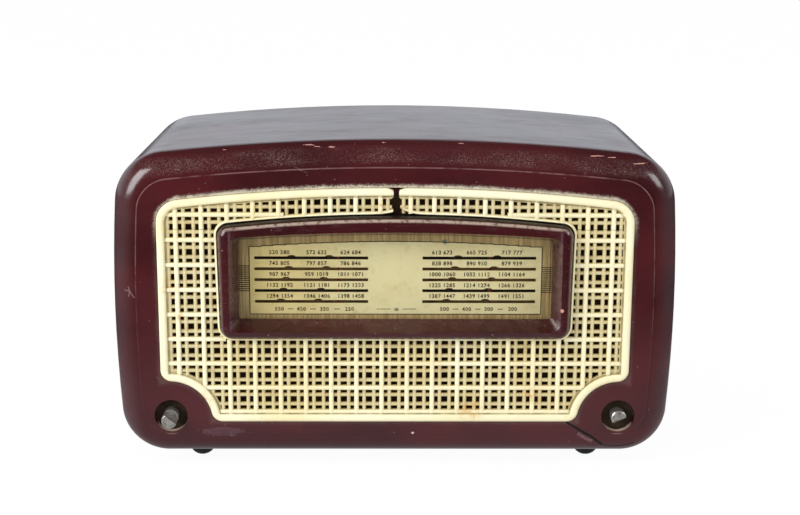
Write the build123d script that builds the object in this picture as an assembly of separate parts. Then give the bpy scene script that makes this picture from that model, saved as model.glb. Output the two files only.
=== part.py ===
from build123d import *
import math
import os

# A small table radio of about 1950, in millimetres.
# +X is to the right seen from the front, +Y points to the back, +Z is up.
# The origin is on the table, under the middle of the whole radio.
# Depths are counted from the flat front of the cabinet, positive to the back.

# Cabinet
cabinet_width = 222.2
cabinet_height = 126.9
cabinet_depth = 110.0
cabinet_wall = 3.0
front_wall = 3.2
foot_height = 6.0
side_bow = 3.0              # how far the sides swell out at half height
top_arch = 7.0              # how far the top rises to its middle
top_corner_radius = 20.5
bottom_corner_radius = 19.0
front_round = 9.8           # rounding all round the front edge
panel_step = 0.35           # the flat front stands this far out of the rounding
back_rebate = 1.5           # the rebate that the back cover drops into, out of the wall
back_cover_thickness = 2.2
back_cover_recess = 1.5
cover_clearance = 0.3

# Controls
knob_x = 88.9
knob_height = 17.0          # above the underside of the cabinet
knob_hole_radius = 6.6
shaft_radius = 3.0
bearing_clearance = 0.03
shaft_flat = 0.8            # distance from the axis to the flat
volume_proud = 7.0          # how far each shaft stands out of the front
tuning_proud = 3.0
flat_length = 5.6
volume_flat_angle = 52.0    # where each flat faces, seen from the front
tuning_flat_angle = -67.0

# Grille
grille_width = 185.0
grille_bottom = 14.8        # above the underside of the cabinet
grille_height = 94.4
grille_arch = 5.8
grille_corner_radius = 9.0
scoop_radius = 16.6         # hollow that leaves room for the knobs
scoop_corner_radius = 4.5
border_width = 3.2
border_proud = 1.3
border_shelf = 0.8          # the flat step between the border and the first openings
grille_depth = 1.8          # depth of the pocket that the grille lies in
pocket_clearance = 0.2
lip_width = 3.0
bar_pitch = 9.97
wide_bar = 1.8
narrow_bar = 1.4
middle_gap = 2.45           # the middle opening of the three between two wide bars
wide_bar_front = -0.6
narrow_bar_front = 0.2
lattice_height = 73.6       # a gap between wide bars is centred here, above the underside
lattice_x = -0.35           # and here, a little to the left of the middle
split_width = 3.0           # the break in the grille above the dial
split_round = 1.7

# Dial bezel
bezel_width = 137.7
bezel_foot_width = 136.2
bezel_bottom = 49.5         # above the underside of the cabinet
bezel_height = 49.0
bezel_arch = 4.1
bezel_corner_radius = 4.5
bezel_proud = 5.0
bezel_seat = 0.8            # the rim's back stays this far in front of the cloth
window_width = 123.0
window_bottom = 55.8        # above the underside of the cabinet
window_height = 33.9
window_arch = 2.1
window_corner_radius = 1.2
window_flare = 3.0          # the window opens out by this much towards the front
bezel_gap = 0.4             # shadow gap to the grille
glass_rim = 2.0             # how far the glass reaches past the window
skirt_rim = 3.2
glass_thickness = 2.0
scale_thickness = 0.4
seat_clearance = 0.15

# Dial scale
stripe_inner = 10.7         # distance from the middle to the ends of the stripes
stripe_outer = 55.4
stripe_height = 1.2
stripe_pitch = 4.42
stripe_count = 5
top_stripe_height = 80.0    # above the underside of the cabinet

# Cloth and the board behind it
cloth_gap = 0.2             # between the front wall and the cloth
cloth_thickness = 0.5
board_gap = 0.1
board_thickness = 3.0
board_margin = 5.0

# Dial drive, all in one plane behind the board
drive_gap = 3.8             # from the back of the board to the middle of the cord
cord_radius = 0.4
cord_gap = 0.3
drum_pitch_radius = 14.5
pulley_pitch_radius = 4.4
spindle_pitch_radius = 3.4
drum_x = -74.0
drum_height = 20.0          # axis above the chassis
pulley_height = 98.0        # above the underside of the cabinet
left_pulley_x = -70.0
right_pulley_x = 76.0
rail_height = 95.5
rail_radius = 1.25
rail_half_length = 64.0
pointer_spacing = 60.0
left_pointer_x = -22.5
pointer_width = 0.9
pointer_gap = 1.3           # from the back of the board
pointer_thickness = 0.5

# Chassis
chassis_half_width = 98.0
chassis_gap = 7.2           # from the middle of the cord to the front apron
cover_gap = 12.3            # from the back apron to the back cover
chassis_low = 6.5           # above the underside of the cabinet
chassis_high = 30.0
sheet = 1.0
lip = 9.0
chassis_screw_x = 55.0

# Loudspeaker
speaker_radius = 36.0
speaker_lift = 38.5         # axis above the chassis
basket_depth = 18.0
basket_throat = 20.0
magnet_radius = 18.0
magnet_depth = 14.0
voice_coil_radius = 9.7

# Places that follow from the sizes
overall_depth = volume_proud + cabinet_depth
front_y = volume_proud - overall_depth / 2
base = foot_height
knob_z = base + knob_height
chassis_top = base + chassis_high
drum_z = chassis_top + drum_height
pulley_z = base + pulley_height
rail_z = base + rail_height
speaker_z = chassis_top + speaker_lift
cloth_front = front_wall + cloth_gap
board_front = cloth_front + cloth_thickness + board_gap
board_back = board_front + board_thickness
bezel_back = cloth_front - bezel_seat
scale_back = board_back
scale_front = scale_back - scale_thickness
glass_front = scale_front - glass_thickness
drive_depth = board_back + drive_gap
pointer_front = board_back + pointer_gap
chassis_front = drive_depth + chassis_gap
cover_front = cabinet_depth - back_cover_recess - back_cover_thickness
cover_back = cabinet_depth - back_cover_recess
chassis_back = cover_front - cover_gap
panel_front = chassis_front - sheet


# Helpers

def at_depth(depth):
    return Plane(origin=(0, front_y + depth, 0), x_dir=(1, 0, 0), z_dir=(0, -1, 0))


def slab(face, near, far):
    """A flat piece of this front-view outline, between two depths."""
    return extrude(at_depth(far) * face, amount=far - near)


def disc(x, z, near, far, radius):
    return slab(Pos(x, z) * Circle(radius), near, far)


def ring(x, z, near, far, radius, bore):
    return slab(Pos(x, z) * (Circle(radius) - Circle(bore)), near, far)


def block(left, right, near, far, low, high):
    middle = Pos((left + right) / 2, front_y + (near + far) / 2, (low + high) / 2)
    return middle * Box(right - left, far - near, high - low)


def upright(x, depth, low, high, radius):
    return Pos(x, front_y + depth, (low + high) / 2) * Cylinder(radius, high - low)


def sagitta_radius(chord, rise):
    """The radius of an arc that rises by this much over its chord."""
    return (chord ** 2 / 4 + rise ** 2) / (2 * rise)


def arched_outline(low_width, high_width, low, high, arch, grow=0.0):
    """A four-sided outline with a flat foot and an arched top, larger all round by grow."""
    slope = (high_width - low_width) / 2 / (high - arch - low)
    foot = low - grow
    above = high + grow + arch
    foot_half = low_width / 2 - slope * grow + grow
    above_half = low_width / 2 + slope * (above - low) + grow
    sides = make_face(Polyline(
        (-foot_half, foot), (foot_half, foot), (above_half, above), (-above_half, above), close=True))
    radius = sagitta_radius(high_width, arch)
    return sides & Pos(0, high - radius) * Circle(radius + grow)


def screw(head_radius, head_height, shank_radius, shank_length):
    """A slotted round-head screw, its head above zero and its shank below."""
    head = Pos(0, 0, head_height / 2) * Cylinder(head_radius, head_height)
    head = fillet(head.edges().sort_by(Axis.Z)[-1], head_height * 0.6)
    slot = Pos(0, 0, head_height) * Box(head_radius * 3, head_radius * 0.3, head_height)
    shank = Pos(0, 0, -shank_length / 2) * Cylinder(shank_radius, shank_length)
    return head - slot + shank


def facing_back(x, depth, z):
    return Plane(origin=(x, front_y + depth, z), x_dir=(1, 0, 0), z_dir=(0, 1, 0))


def facing_down(x, depth, z):
    return Plane(origin=(x, front_y + depth, z), x_dir=(1, 0, 0), z_dir=(0, 0, -1))


def each_side(places):
    """The places given for the right side, and their mirror images on the left."""
    return [(side * place[0], *place[1:]) for side in (-1, 1) for place in places]


def together(solids):
    """Loose pieces of one kind, kept as separate solids."""
    return Compound(children=[solid for piece in solids for solid in piece.solids()])


# Cabinet

def cabinet_outline(inset=0.0):
    """The cabinet seen from the front: flat below, bowed at the sides and on top."""
    half = cabinet_width / 2 - side_bow
    high = base + cabinet_height
    side_height = cabinet_height - top_arch
    top_radius = sagitta_radius(half * 2, top_arch)
    side_radius = sagitta_radius(side_height, side_bow)
    face = Pos(0, high - top_radius) * Circle(top_radius - inset)
    face &= Pos(0, base + inset + cabinet_height) * Rectangle(cabinet_width * 2, cabinet_height * 2)
    for side in (-1, 1):
        centre = (side * (cabinet_width / 2 - side_radius), base + side_height / 2)
        face &= Pos(*centre) * Circle(side_radius - inset)
    face = fillet(face.vertices().group_by(Axis.Y)[0], bottom_corner_radius - inset)
    return fillet(face.vertices().sort_by(Axis.Y)[-2:], top_corner_radius - inset)


def grille_outline(grow=0.0):
    """The grille's edge: arched on top, with a hollow at each lower corner."""
    low = base + grille_bottom
    face = arched_outline(grille_width, grille_width, low, low + grille_height, grille_arch, grow)
    for side in (-1, 1):
        face -= Pos(side * knob_x, low) * Circle(scoop_radius - grow)
    face = fillet(face.vertices().sort_by(Axis.Y)[-2:], grille_corner_radius + grow)
    return fillet(face.vertices().sort_by(Axis.Y)[:4], scoop_corner_radius + grow)


def bezel_outline(grow=0.0):
    low = base + bezel_bottom
    high = low + bezel_height
    face = arched_outline(bezel_foot_width, bezel_width, low, high, bezel_arch, grow)
    return fillet(face.vertices(), bezel_corner_radius + grow)


def window_outline(grow=0.0):
    low = base + window_bottom
    high = low + window_height
    face = arched_outline(window_width, window_width, low, high, window_arch, grow)
    return fillet(face.vertices(), window_corner_radius + grow)


def board_fixings():
    """Where the board is screwed to the cabinet: beside the grille, above and below its middle."""
    beside = grille_width / 2 + board_margin - boss_overhang
    return each_side([(beside, base + 42.0), (beside, base + 88.0)])


boss_radius = 2.4
boss_overhang = 2.0
boss_clearance = 0.5
fixing_radius = 1.1
cover_post_radius = 5.5
cover_screw_radius = 1.4
cover_screw_length = 9.0
corner_share = 1 - math.sqrt(0.5)
cover_fixings = each_side([
    (cabinet_width / 2 - 5.2 - bottom_corner_radius * corner_share,
     base + 5.1 + bottom_corner_radius * corner_share),
    (cabinet_width / 2 - 6.6 - top_corner_radius * corner_share,
     base + cabinet_height - top_arch - 4.2 - top_corner_radius * corner_share)])
cover_post_length = 11.0
chassis_post_radius = 5.0
chassis_hole_radius = 2.1
chassis_screw_radius = 1.8
chassis_fixings = [(x, depth) for x in (-chassis_screw_x, chassis_screw_x)
                   for depth in (chassis_front + 5.5, chassis_back - 5.5)]
foot_top_radius = 5.2
foot_x = 79.2
foot_depths = (21.0, cabinet_depth - 21.0)
foot_flat = 2.4             # radius of the flat that a foot stands on
foot_screw_radius = 1.4
stud_radius = 1.0
stud_length = 3.6
nut_radius = 2.6
nut_thickness = 0.6
stud_inset = 1.6
stud_places = each_side([(grille_width / 2 - stud_inset, base + 40.0),
                         (grille_width / 2 - stud_inset, base + 84.0),
                         (45.0, base + grille_bottom + stud_inset)])


def make_cabinet():
    outline = cabinet_outline()
    body = slab(outline, panel_step, cabinet_depth)
    body = fillet(body.edges().group_by(Axis.Y)[0], front_round)
    body += slab(cabinet_outline(front_round), 0, panel_step + 0.2)
    inside = slab(cabinet_outline(cabinet_wall), front_wall, cabinet_depth)
    inside = fillet(inside.edges().group_by(Axis.Y)[0], front_round - cabinet_wall)
    whole = body
    body -= inside
    body -= slab(cabinet_outline(back_rebate), cover_front, cabinet_depth)
    for x, z in cover_fixings:
        post = disc(x, z, cover_front - cover_post_length, cover_front, cover_post_radius) & whole
        body += post
        body -= disc(x, z, cover_front - cover_screw_length, cover_front, cover_screw_radius)
    for x, z in board_fixings():
        body += disc(x, z, front_wall - 0.5, board_back, boss_radius)
        body -= disc(x, z, front_wall - 0.5, board_back, fixing_radius)
    for x, depth in chassis_fixings:
        body += upright(x, depth, base + cabinet_wall - 0.5, base + chassis_low, chassis_post_radius)
        body -= upright(x, depth, base, base + chassis_low, chassis_hole_radius)
    for side in (-1, 1):
        for depth in foot_depths:
            body -= upright(side * foot_x, depth, base, base + cabinet_wall, foot_screw_radius)
        body -= disc(side * knob_x, knob_z, -1, front_wall + 1, knob_hole_radius)
    body -= slab(grille_outline(pocket_clearance), -1, grille_depth)
    body -= slab(grille_outline(-lip_width), grille_depth - 0.5, front_wall + 1)
    for x, z in stud_places:
        body -= disc(x, z, grille_depth - 0.5, front_wall + 1, stud_radius + 0.15)
    return body


# Grille

def bar_openings(wide_only):
    """The openings between the bars, as rectangles centred at (x, z) with a width and a height."""
    inner = middle_gap / 2 + narrow_bar
    outer = bar_pitch / 2 - wide_bar / 2
    if wide_only:
        spans = [(-outer, outer)]
    else:
        spans = [(-outer, -inner), (-middle_gap / 2, middle_gap / 2), (inner, outer)]
    columns = math.ceil(grille_width / 2 / bar_pitch)
    rows = math.ceil(grille_height / 2 / bar_pitch) + 1
    openings = []
    for column in range(-columns, columns + 1):
        for row in range(-rows, rows + 1):
            x = lattice_x + column * bar_pitch
            z = base + lattice_height + row * bar_pitch
            for left, right in spans:
                for low, high in spans:
                    place = Pos(x + (left + right) / 2, z + (low + high) / 2)
                    openings.append(place * Rectangle(right - left, high - low))
    return openings


smallest_opening = 0.25     # area of the smallest clipped opening that is kept
inner_border = 1.0
split_border = 0.6


def grille_field():
    """The area of the lattice, inside the border and clear of the dial and the break."""
    field = grille_outline(-border_width - border_shelf) - dial_hole(inner_border)
    return field - split_outline(split_border)


def clipped(openings):
    """The openings cut to the lattice area, leaving out what falls outside it."""
    field = grille_field()
    well_inside = offset(field, -bar_pitch / 2).faces()
    kept = []
    for opening in openings:
        if any(face.is_inside(opening.center()) for face in well_inside):
            kept.append(opening.face().outer_wire())
            continue
        inside = opening & field
        if inside is None:
            continue
        kept += [face.outer_wire() for face in inside.faces() if face.area > smallest_opening]
    return kept


def dial_hole(extra=0.0):
    return bezel_outline(bezel_gap + extra)


def split_outline(grow=0.0):
    """The break above the dial, rounded open at both of its ends."""
    high = base + grille_bottom + grille_height
    low = base + bezel_bottom + bezel_height + bezel_gap
    width = split_width + grow * 2
    gap = Pos(0, (high + low) / 2) * Rectangle(width, high - low + 4)
    for side in (-1, 1):
        for end, inward in ((high, -1), (low, 1)):
            corner = (side * (width / 2 + split_round / 2), end + inward * split_round / 2)
            square = Pos(*corner) * Rectangle(split_round, split_round)
            centre = (side * (width / 2 + split_round), end + inward * split_round)
            gap += square - Pos(*centre) * Circle(split_round)
    return gap


def holed(outline, near, far, holes):
    """A plate of this outline with all its openings, made in one piece."""
    face = Face(outline.face().outer_wire(), holes)
    return slab(Sketch(children=[face]), near, far)


def make_grille():
    edge = grille_outline()
    frame = edge - dial_hole() - split_outline()
    lattice = holed(frame, narrow_bar_front, grille_depth, clipped(bar_openings(False)))
    bars = holed(frame, wide_bar_front, narrow_bar_front, clipped(bar_openings(True)))
    rim = slab(edge - grille_outline(-border_width) - split_outline(), -border_proud, wide_bar_front)
    rim = fillet(rim.edges().group_by(Axis.Y)[0], border_proud * 0.5)
    studs = [disc(x, z, grille_depth - 0.3, grille_depth + stud_length, stud_radius)
             for x, z in stud_places]
    return lattice + [bars, rim, *studs]


def make_grille_nuts():
    """Spring nuts pushed over the studs from inside the cabinet."""
    return together([ring(x, z, front_wall, front_wall + nut_thickness, nut_radius, stud_radius)
                     for x, z in stud_places])


# Cloth and board

def clear_of_fixings(face, radius_over):
    for x, z in stud_places:
        face -= Pos(x, z) * Circle(nut_radius + radius_over)
    for x, z in board_fixings():
        face -= Pos(x, z) * Circle(boss_radius + radius_over)
    return face


def make_cloth():
    face = grille_outline(board_margin - 1) - window_outline(skirt_rim + 0.3)
    face = clear_of_fixings(face, boss_clearance + 0.3)
    for x, z in bezel_fixings:
        face -= Pos(x, z) * Circle(fixing_radius + 0.3)
    for x, z in clip_fixings:
        face -= Pos(x, z) * Circle(fixing_radius + 0.3)
    return slab(face, cloth_front, cloth_front + cloth_thickness)


bezel_fixings = each_side([(66.6, base + 56.5), (66.6, base + 92.0)])
clip_fixings = each_side([(72.0, drum_z + drum_pitch_radius + 7.5), (72.0, base + 86.0)])


def make_board():
    """Hardboard that carries the cloth, open at both sides of the dial and below it."""
    face = grille_outline(board_margin) - window_outline(skirt_rim + 0.3)
    face = clear_of_fixings(face, boss_clearance)
    for side in (-1, 1):
        face -= Pos(side * (grille_width / 2 - 10.5), base + 68.0) * RectangleRounded(11.0, 62.0, 4.0)
    face -= Pos(0, base + 33.0) * RectangleRounded(128.0, 24.0, 6.0)
    for x, z in [*bezel_fixings, *clip_fixings]:
        face -= Pos(x, z) * Circle(fixing_radius)
    return slab(face, board_front, board_back)


def make_board_screws():
    washer_head = screw(3.6, 1.8, fixing_radius, board_back - front_wall)
    return together([facing_back(x, board_back, z).location * washer_head for x, z in board_fixings()])


# Dial

def make_bezel():
    body = slab(bezel_outline(), -bezel_proud, bezel_back)
    body = fillet(body.edges().group_by(Axis.Y)[0], 3.4)
    mouth = at_depth(-bezel_proud) * window_outline(window_flare)
    window = loft([at_depth(glass_front) * window_outline(), mouth], ruled=True)
    body += slab(window_outline(skirt_rim), bezel_back - 0.5, board_back)
    body -= window
    body -= slab(window_outline(glass_rim + seat_clearance), glass_front, board_back)
    for x, z in bezel_fixings:
        body -= disc(x, z, -2.5, bezel_back, fixing_radius)
    return body


def make_glass():
    return slab(window_outline(glass_rim), glass_front, scale_front)


def make_scale():
    """The cream scale behind the glass, with a row of long slots on each side of its middle."""
    face = window_outline(glass_rim)
    length = stripe_outer - stripe_inner
    middle = (stripe_outer + stripe_inner) / 2
    for row in range(stripe_count):
        z = base + top_stripe_height - row * stripe_pitch
        for side in (-1, 1):
            face -= Pos(side * middle, z) * Rectangle(length, stripe_height)
    return slab(face, scale_front, scale_back)


def make_dial_clips():
    clips = []
    inner = window_width / 2 + 1.0
    for x, z in clip_fixings:
        side = 1 if x > 0 else -1
        plate = Pos(side * (inner + 75.0) / 2, z) * RectangleRounded(75.0 - inner, 6.0, 1.0)
        plate -= Pos(x, z) * Circle(fixing_radius)
        clips.append(slab(plate, board_back, board_back + 0.6))
    return together(clips)


def make_dial_screws():
    """Four screws hold the bezel to the board and four hold the clips."""
    long_screw = screw(2.2, 1.6, fixing_radius, board_back + 2.0)
    short_screw = screw(2.2, 1.6, fixing_radius, board_thickness + 0.8)
    screws = [facing_back(x, board_back, z).location * long_screw for x, z in bezel_fixings]
    screws += [facing_back(x, board_back + 0.6, z).location * short_screw for x, z in clip_fixings]
    return together(screws)


# Sub-panel and dial drive

panel_half_width = 80.0
panel_low = base + chassis_low + 4.0
panel_high = base + 106.5
backplate_front = drive_depth + 2.6
backplate_thickness = 0.8
backplate_half_width = 61.0
backplate_low = base + 51.0
backplate_high = base + 92.0
spacer_radius = 2.5
spacer_places = each_side([(52.0, base + 55.0), (52.0, base + 88.0)])
pulley_bore = 1.5
panel_fixings = each_side([(30.0, base + 16.0), (66.0, base + 16.0)])
speaker_fixing_radius = speaker_radius - 2.4
speaker_screw_angles = (45, 135, 225, 315)


def speaker_fixings():
    places = []
    for angle in speaker_screw_angles:
        x = speaker_fixing_radius * math.cos(math.radians(angle))
        z = speaker_z + speaker_fixing_radius * math.sin(math.radians(angle))
        places.append((x, z))
    return places


def make_front_panel():
    """The steel panel in front of the chassis that carries the loudspeaker and the dial drive."""
    face = Pos(0, (panel_low + panel_high) / 2) * RectangleRounded(
        panel_half_width * 2, panel_high - panel_low, 4.0)
    face -= Pos(0, speaker_z) * Circle(speaker_radius - 4.5)
    face -= Pos(drum_x, drum_z) * Circle(5.0)
    for x in (left_pulley_x, right_pulley_x):
        face -= Pos(x, pulley_z) * Circle(pulley_bore)
    for x, z in [*panel_fixings, *spacer_places, *speaker_fixings()]:
        face -= Pos(x, z) * Circle(fixing_radius)
    return slab(face, panel_front, chassis_front)


def make_panel_screws():
    """The screws through the panel: into the chassis, and into the loudspeaker's rim."""
    one = screw(2.4, 1.5, fixing_radius, 3.6)
    places = [*panel_fixings, *speaker_fixings()]
    return together([facing_front(x, panel_front, z).location * one for x, z in places])


def facing_front(x, depth, z):
    return Plane(origin=(x, front_y + depth, z), x_dir=(1, 0, 0), z_dir=(0, -1, 0))


def make_backplate():
    """Dark plate behind the scale, with ears for the pointer rail and the dial lamps."""
    height = backplate_high - backplate_low
    middle = (backplate_high + backplate_low) / 2
    face = Pos(0, middle) * RectangleRounded(backplate_half_width * 2, height, 2.0)
    plate = slab(face, backplate_front, backplate_front + backplate_thickness)
    for side in (-1, 1):
        outer = side * rail_half_length
        inner = side * (backplate_half_width - 1.0)
        back = backplate_front + backplate_thickness
        arm_low = backplate_high - 6.0
        plate += block(min(inner, outer), max(inner, outer), backplate_front, back, arm_low, rail_z + 4.0)
        ear_inner = side * (rail_half_length - backplate_thickness)
        plate += block(min(ear_inner, outer), max(ear_inner, outer), drive_depth - 3.2, back,
                       rail_z - 4.0, rail_z + 4.0)
        lamp_x = side * lamp_from_middle
        plate += block(lamp_x - 4.0, lamp_x + 4.0, backplate_front, back, lamp_z - 5.0, backplate_low + 1.0)
    rail_hole = Pos(0, front_y + drive_depth, rail_z) * Rot(0, 90, 0) * Cylinder(
        rail_radius, rail_half_length * 2 + 2)
    return plate - rail_hole


def make_spacers():
    near = backplate_front + backplate_thickness
    return together([disc(x, z, near, panel_front, spacer_radius)
                     + disc(x, z, panel_front - 0.5, chassis_front + 0.8, fixing_radius)
                     for x, z in spacer_places])


lamp_from_middle = 30.0
lamp_z = base + 39.5
lamp_radius = 3.4
lamp_depth = board_back + 2.2


def make_lamps():
    """Two small dial lamps lying lengthwise, each a glass bulb on a brass cap."""
    bulbs = []
    for side in (-1, 1):
        cap = Pos(side * lamp_from_middle, front_y + lamp_depth, lamp_z) * Rot(0, side * 90, 0)
        profile = make_face([
            Line((0, -5), (3.0, -5)),
            Line((3.0, -5), (3.0, 2.0)),
            Line((3.0, 2.0), (lamp_radius, 3.0)),
            Line((lamp_radius, 3.0), (lamp_radius, 8.0)),
            RadiusArc((lamp_radius, 8.0), (0, 8.0 + lamp_radius), -lamp_radius),
            Line((0, 8.0 + lamp_radius), (0, -5)),
        ])
        bulb = revolve(Plane.XZ * profile, Axis.Z)
        bulbs.append(cap * bulb)
    return together(bulbs)


def make_lamp_holders():
    holders = []
    for side in (-1, 1):
        cap = Pos(side * lamp_from_middle, front_y + lamp_depth, lamp_z) * Rot(0, side * 90, 0)
        sleeve = Pos(0, 0, -1.5) * (Cylinder(3.8, 7.0) - Cylinder(3.05, 7.0))
        foot = block(side * lamp_from_middle - 2.5, side * lamp_from_middle + 2.5,
                     lamp_depth + 3.4, backplate_front, lamp_z - 3.0, lamp_z + 3.0)
        holders.append(cap * sleeve + foot)
    return together(holders)


def make_rail():
    return Pos(0, front_y + drive_depth, rail_z) * Rot(0, 90, 0) * Cylinder(
        rail_radius, rail_half_length * 2)


rail_clearance = 0.05
bush_radius = 2.0
bush_length = 6.0
strip_thickness = 0.8
clamp_width = 5.0


def carriage_middle():
    return left_pointer_x + pointer_spacing / 2


def make_carriage():
    """Two bushes on the rail, joined by a strip, with a finger up to the cord."""
    middle = carriage_middle()
    half = pointer_spacing / 2
    strip_front = pointer_front + pointer_thickness
    body = block(middle - half - bush_length / 2, middle + half + bush_length / 2, strip_front,
                 strip_front + strip_thickness, rail_z - bush_radius, rail_z + bush_radius)
    for side in (-1, 1):
        centre = Pos(middle + side * half, front_y + drive_depth, rail_z)
        body += centre * Rot(0, 90, 0) * Cylinder(bush_radius, bush_length)
    cord_z = pulley_z + pulley_pitch_radius
    body += block(middle - clamp_width / 2, middle + clamp_width / 2, strip_front,
                  strip_front + strip_thickness, rail_z, cord_z + 2.0)
    clamp = block(middle - clamp_width / 2, middle + clamp_width / 2, strip_front,
                  drive_depth + 1.6, cord_z - 1.8, cord_z + 2.0)
    body += clamp
    cord_way = Pos(middle, front_y + drive_depth, cord_z) * Rot(0, 90, 0) * Cylinder(
        cord_radius + cord_gap, clamp_width + 2)
    rail_way = Pos(middle, front_y + drive_depth, rail_z) * Rot(0, 90, 0) * Cylinder(
        rail_radius + rail_clearance, pointer_spacing + bush_length * 2)
    return body - cord_way - rail_way


def make_pointers():
    low = base + window_bottom + 1.0
    blades = []
    for side in (-1, 1):
        x = carriage_middle() + side * pointer_spacing / 2
        blades.append(block(x - pointer_width / 2, x + pointer_width / 2, pointer_front,
                            pointer_front + pointer_thickness, low, rail_z + 1.5))
    return together(blades)


def grooved_wheel(pitch_radius, half_width, flange, bore):
    """A wheel whose groove leaves the cord its gap."""
    root = pitch_radius - cord_radius - cord_gap
    half_groove = cord_radius + cord_gap + 0.1
    wheel = ring(0, 0, -half_width, half_width, root + flange, bore)
    groove = ring(0, 0, -half_groove, half_groove, root + flange + 1, root)
    return Pos(0, -front_y, 0) * (wheel - groove)


pulley_flange = 1.7
pulley_half_width = 1.2
turning_clearance = 0.04


def make_pulley(x):
    wheel = grooved_wheel(pulley_pitch_radius, pulley_half_width, pulley_flange,
                          pulley_bore + turning_clearance)
    return Pos(x, front_y + drive_depth, pulley_z) * wheel


def make_pulley_pins():
    pins = []
    for x in (left_pulley_x, right_pulley_x):
        pin = disc(x, pulley_z, drive_depth - pulley_half_width - 0.2, chassis_front + 0.6, pulley_bore)
        pin += disc(x, pulley_z, drive_depth - pulley_half_width - 1.2,
                    drive_depth - pulley_half_width - 0.2, 2.6)
        pin += disc(x, pulley_z, drive_depth + pulley_half_width + 0.2, panel_front, 2.6)
        pins.append(pin)
    return together(pins)


def belt_stations():
    """The wheels that the cord goes round, clockwise seen from the front: x, z and pitch radius."""
    return [
        (left_pulley_x, pulley_z, pulley_pitch_radius),
        (right_pulley_x, pulley_z, pulley_pitch_radius),
        (knob_x, knob_z, spindle_pitch_radius),
        (drum_x, drum_z, drum_pitch_radius),
    ]


def tangent_points(first, second):
    """Where a cord leaves one wheel and meets the next, passing both on the outside."""
    dx = second[0] - first[0]
    dz = second[1] - first[1]
    distance = math.hypot(dx, dz)
    lean = math.asin((first[2] - second[2]) / distance)
    direction = math.atan2(dz, dx) + math.pi / 2 - lean
    unit = (math.cos(direction), math.sin(direction))
    return [(wheel[0] + wheel[2] * unit[0], wheel[1] + wheel[2] * unit[1]) for wheel in (first, second)]


def make_cord():
    wheels = belt_stations()
    runs = [tangent_points(wheels[i], wheels[(i + 1) % len(wheels)]) for i in range(len(wheels))]
    edges = []
    for i, (leave, meet) in enumerate(runs):
        edges.append(Line(leave, meet))
        wheel = wheels[(i + 1) % len(wheels)]
        onward = runs[(i + 1) % len(runs)][0]
        a = math.atan2(meet[1] - wheel[1], meet[0] - wheel[0])
        b = math.atan2(onward[1] - wheel[1], onward[0] - wheel[0])
        turn = (a - b) % (2 * math.pi)
        half = a - turn / 2
        top = (wheel[0] + wheel[2] * math.cos(half), wheel[1] + wheel[2] * math.sin(half))
        edges.append(ThreePointArc(meet, top, onward))
    path = at_depth(drive_depth) * Wire(edges)
    start = path.edges()[0]
    profile = Plane(start @ 0, z_dir=start % 0) * Circle(cord_radius)
    return sweep(profile, path=path)


# Gang capacitor

gang_half_width = 17.0
gang_front = chassis_front + 6.0
gang_back = gang_front + 40.0
gang_shaft_radius = 3.0
gang_plate_radius = 15.0
gang_plate = 0.6
gang_pitch = 2.4
gang_sections = ((gang_front + 4.6, 6), (gang_front + 21.6, 6))
gang_rest_turn = 130.5
gang_end_plate = 1.6


def make_gang_frame():
    floor = chassis_top
    frame = block(drum_x - gang_half_width, drum_x + gang_half_width, gang_front, gang_back,
                  floor, floor + 1.6)
    for near in (gang_front, gang_back - gang_end_plate):
        end = Pos(drum_x, (floor + drum_z + 8) / 2) * RectangleRounded(
            gang_half_width * 2, drum_z + 8 - floor, 3.0)
        frame += slab(end, near, near + gang_end_plate)
    frame += disc(drum_x, drum_z, gang_front - 1.5, gang_front, 5.0)
    return frame - disc(drum_x, drum_z, gang_front - 3, gang_back + 2,
                        gang_shaft_radius + turning_clearance)


def half_disc(radius, turn):
    face = Circle(radius) & Pos(0, radius) * Rectangle(radius * 2, radius * 2)
    return Rot(0, 0, turn) * face


def make_gang_stator():
    """Fixed plates in two sections, each on two insulated rods."""
    plates = []
    for start, count in gang_sections:
        for i in range(count + 1):
            near = start + (i - 0.5) * gang_pitch
            plate = half_disc(gang_plate_radius + 0.6, 90) - Circle(gang_shaft_radius + 1.5)
            plate += Pos(-gang_plate_radius + 0.5, 0) * Rectangle(2.4, 24.0)
            plates.append(slab(Pos(drum_x, drum_z) * plate, near, near + gang_plate))
        for z in (drum_z - 10.5, drum_z + 10.5):
            plates.append(disc(drum_x - gang_plate_radius + 0.3, z, start - 2.2,
                               start + (count + 0.2) * gang_pitch + 1.0, 1.0))
    stator = plates[0]
    for plate in plates[1:]:
        stator += plate
    return together([stator])


def make_gang_rotor():
    """The shaft and its half-round plates, standing partly meshed with the fixed plates."""
    rotor = disc(drum_x, drum_z, drive_depth - 3.0, gang_back + 1.5, gang_shaft_radius)
    for start, count in gang_sections:
        for i in range(count):
            near = start + i * gang_pitch
            face = half_disc(gang_plate_radius, -gang_rest_turn + 90)
            rotor += slab(Pos(drum_x, drum_z) * face, near, near + gang_plate)
    return rotor


drum_half_width = 1.9
drum_flange = 1.8


def make_drum():
    """The cord drum, pressed on the front end of the shaft, with a spring slot in its web."""
    wheel = grooved_wheel(drum_pitch_radius, drum_half_width, drum_flange, gang_shaft_radius)
    for angle in (0, 120, 240):
        hole = Pos(0, 0, 0) * Rot(0, angle, 0) * Pos(8.6, 0, 0) * Rot(90, 0, 0) * Cylinder(2.6, 8)
        wheel -= hole
    return Pos(drum_x, front_y + drive_depth, drum_z) * wheel


# Controls

bushing_radius = shaft_radius + 1.4
nut_across = bushing_radius * 2 + 3.2
bushing_front = chassis_front - 8.0
clip_groove_width = 0.8
clip_groove_depth = 0.4
pot_radius = 9.0
pot_length = 12.0
switch_radius = 8.0
switch_length = 8.0


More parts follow.
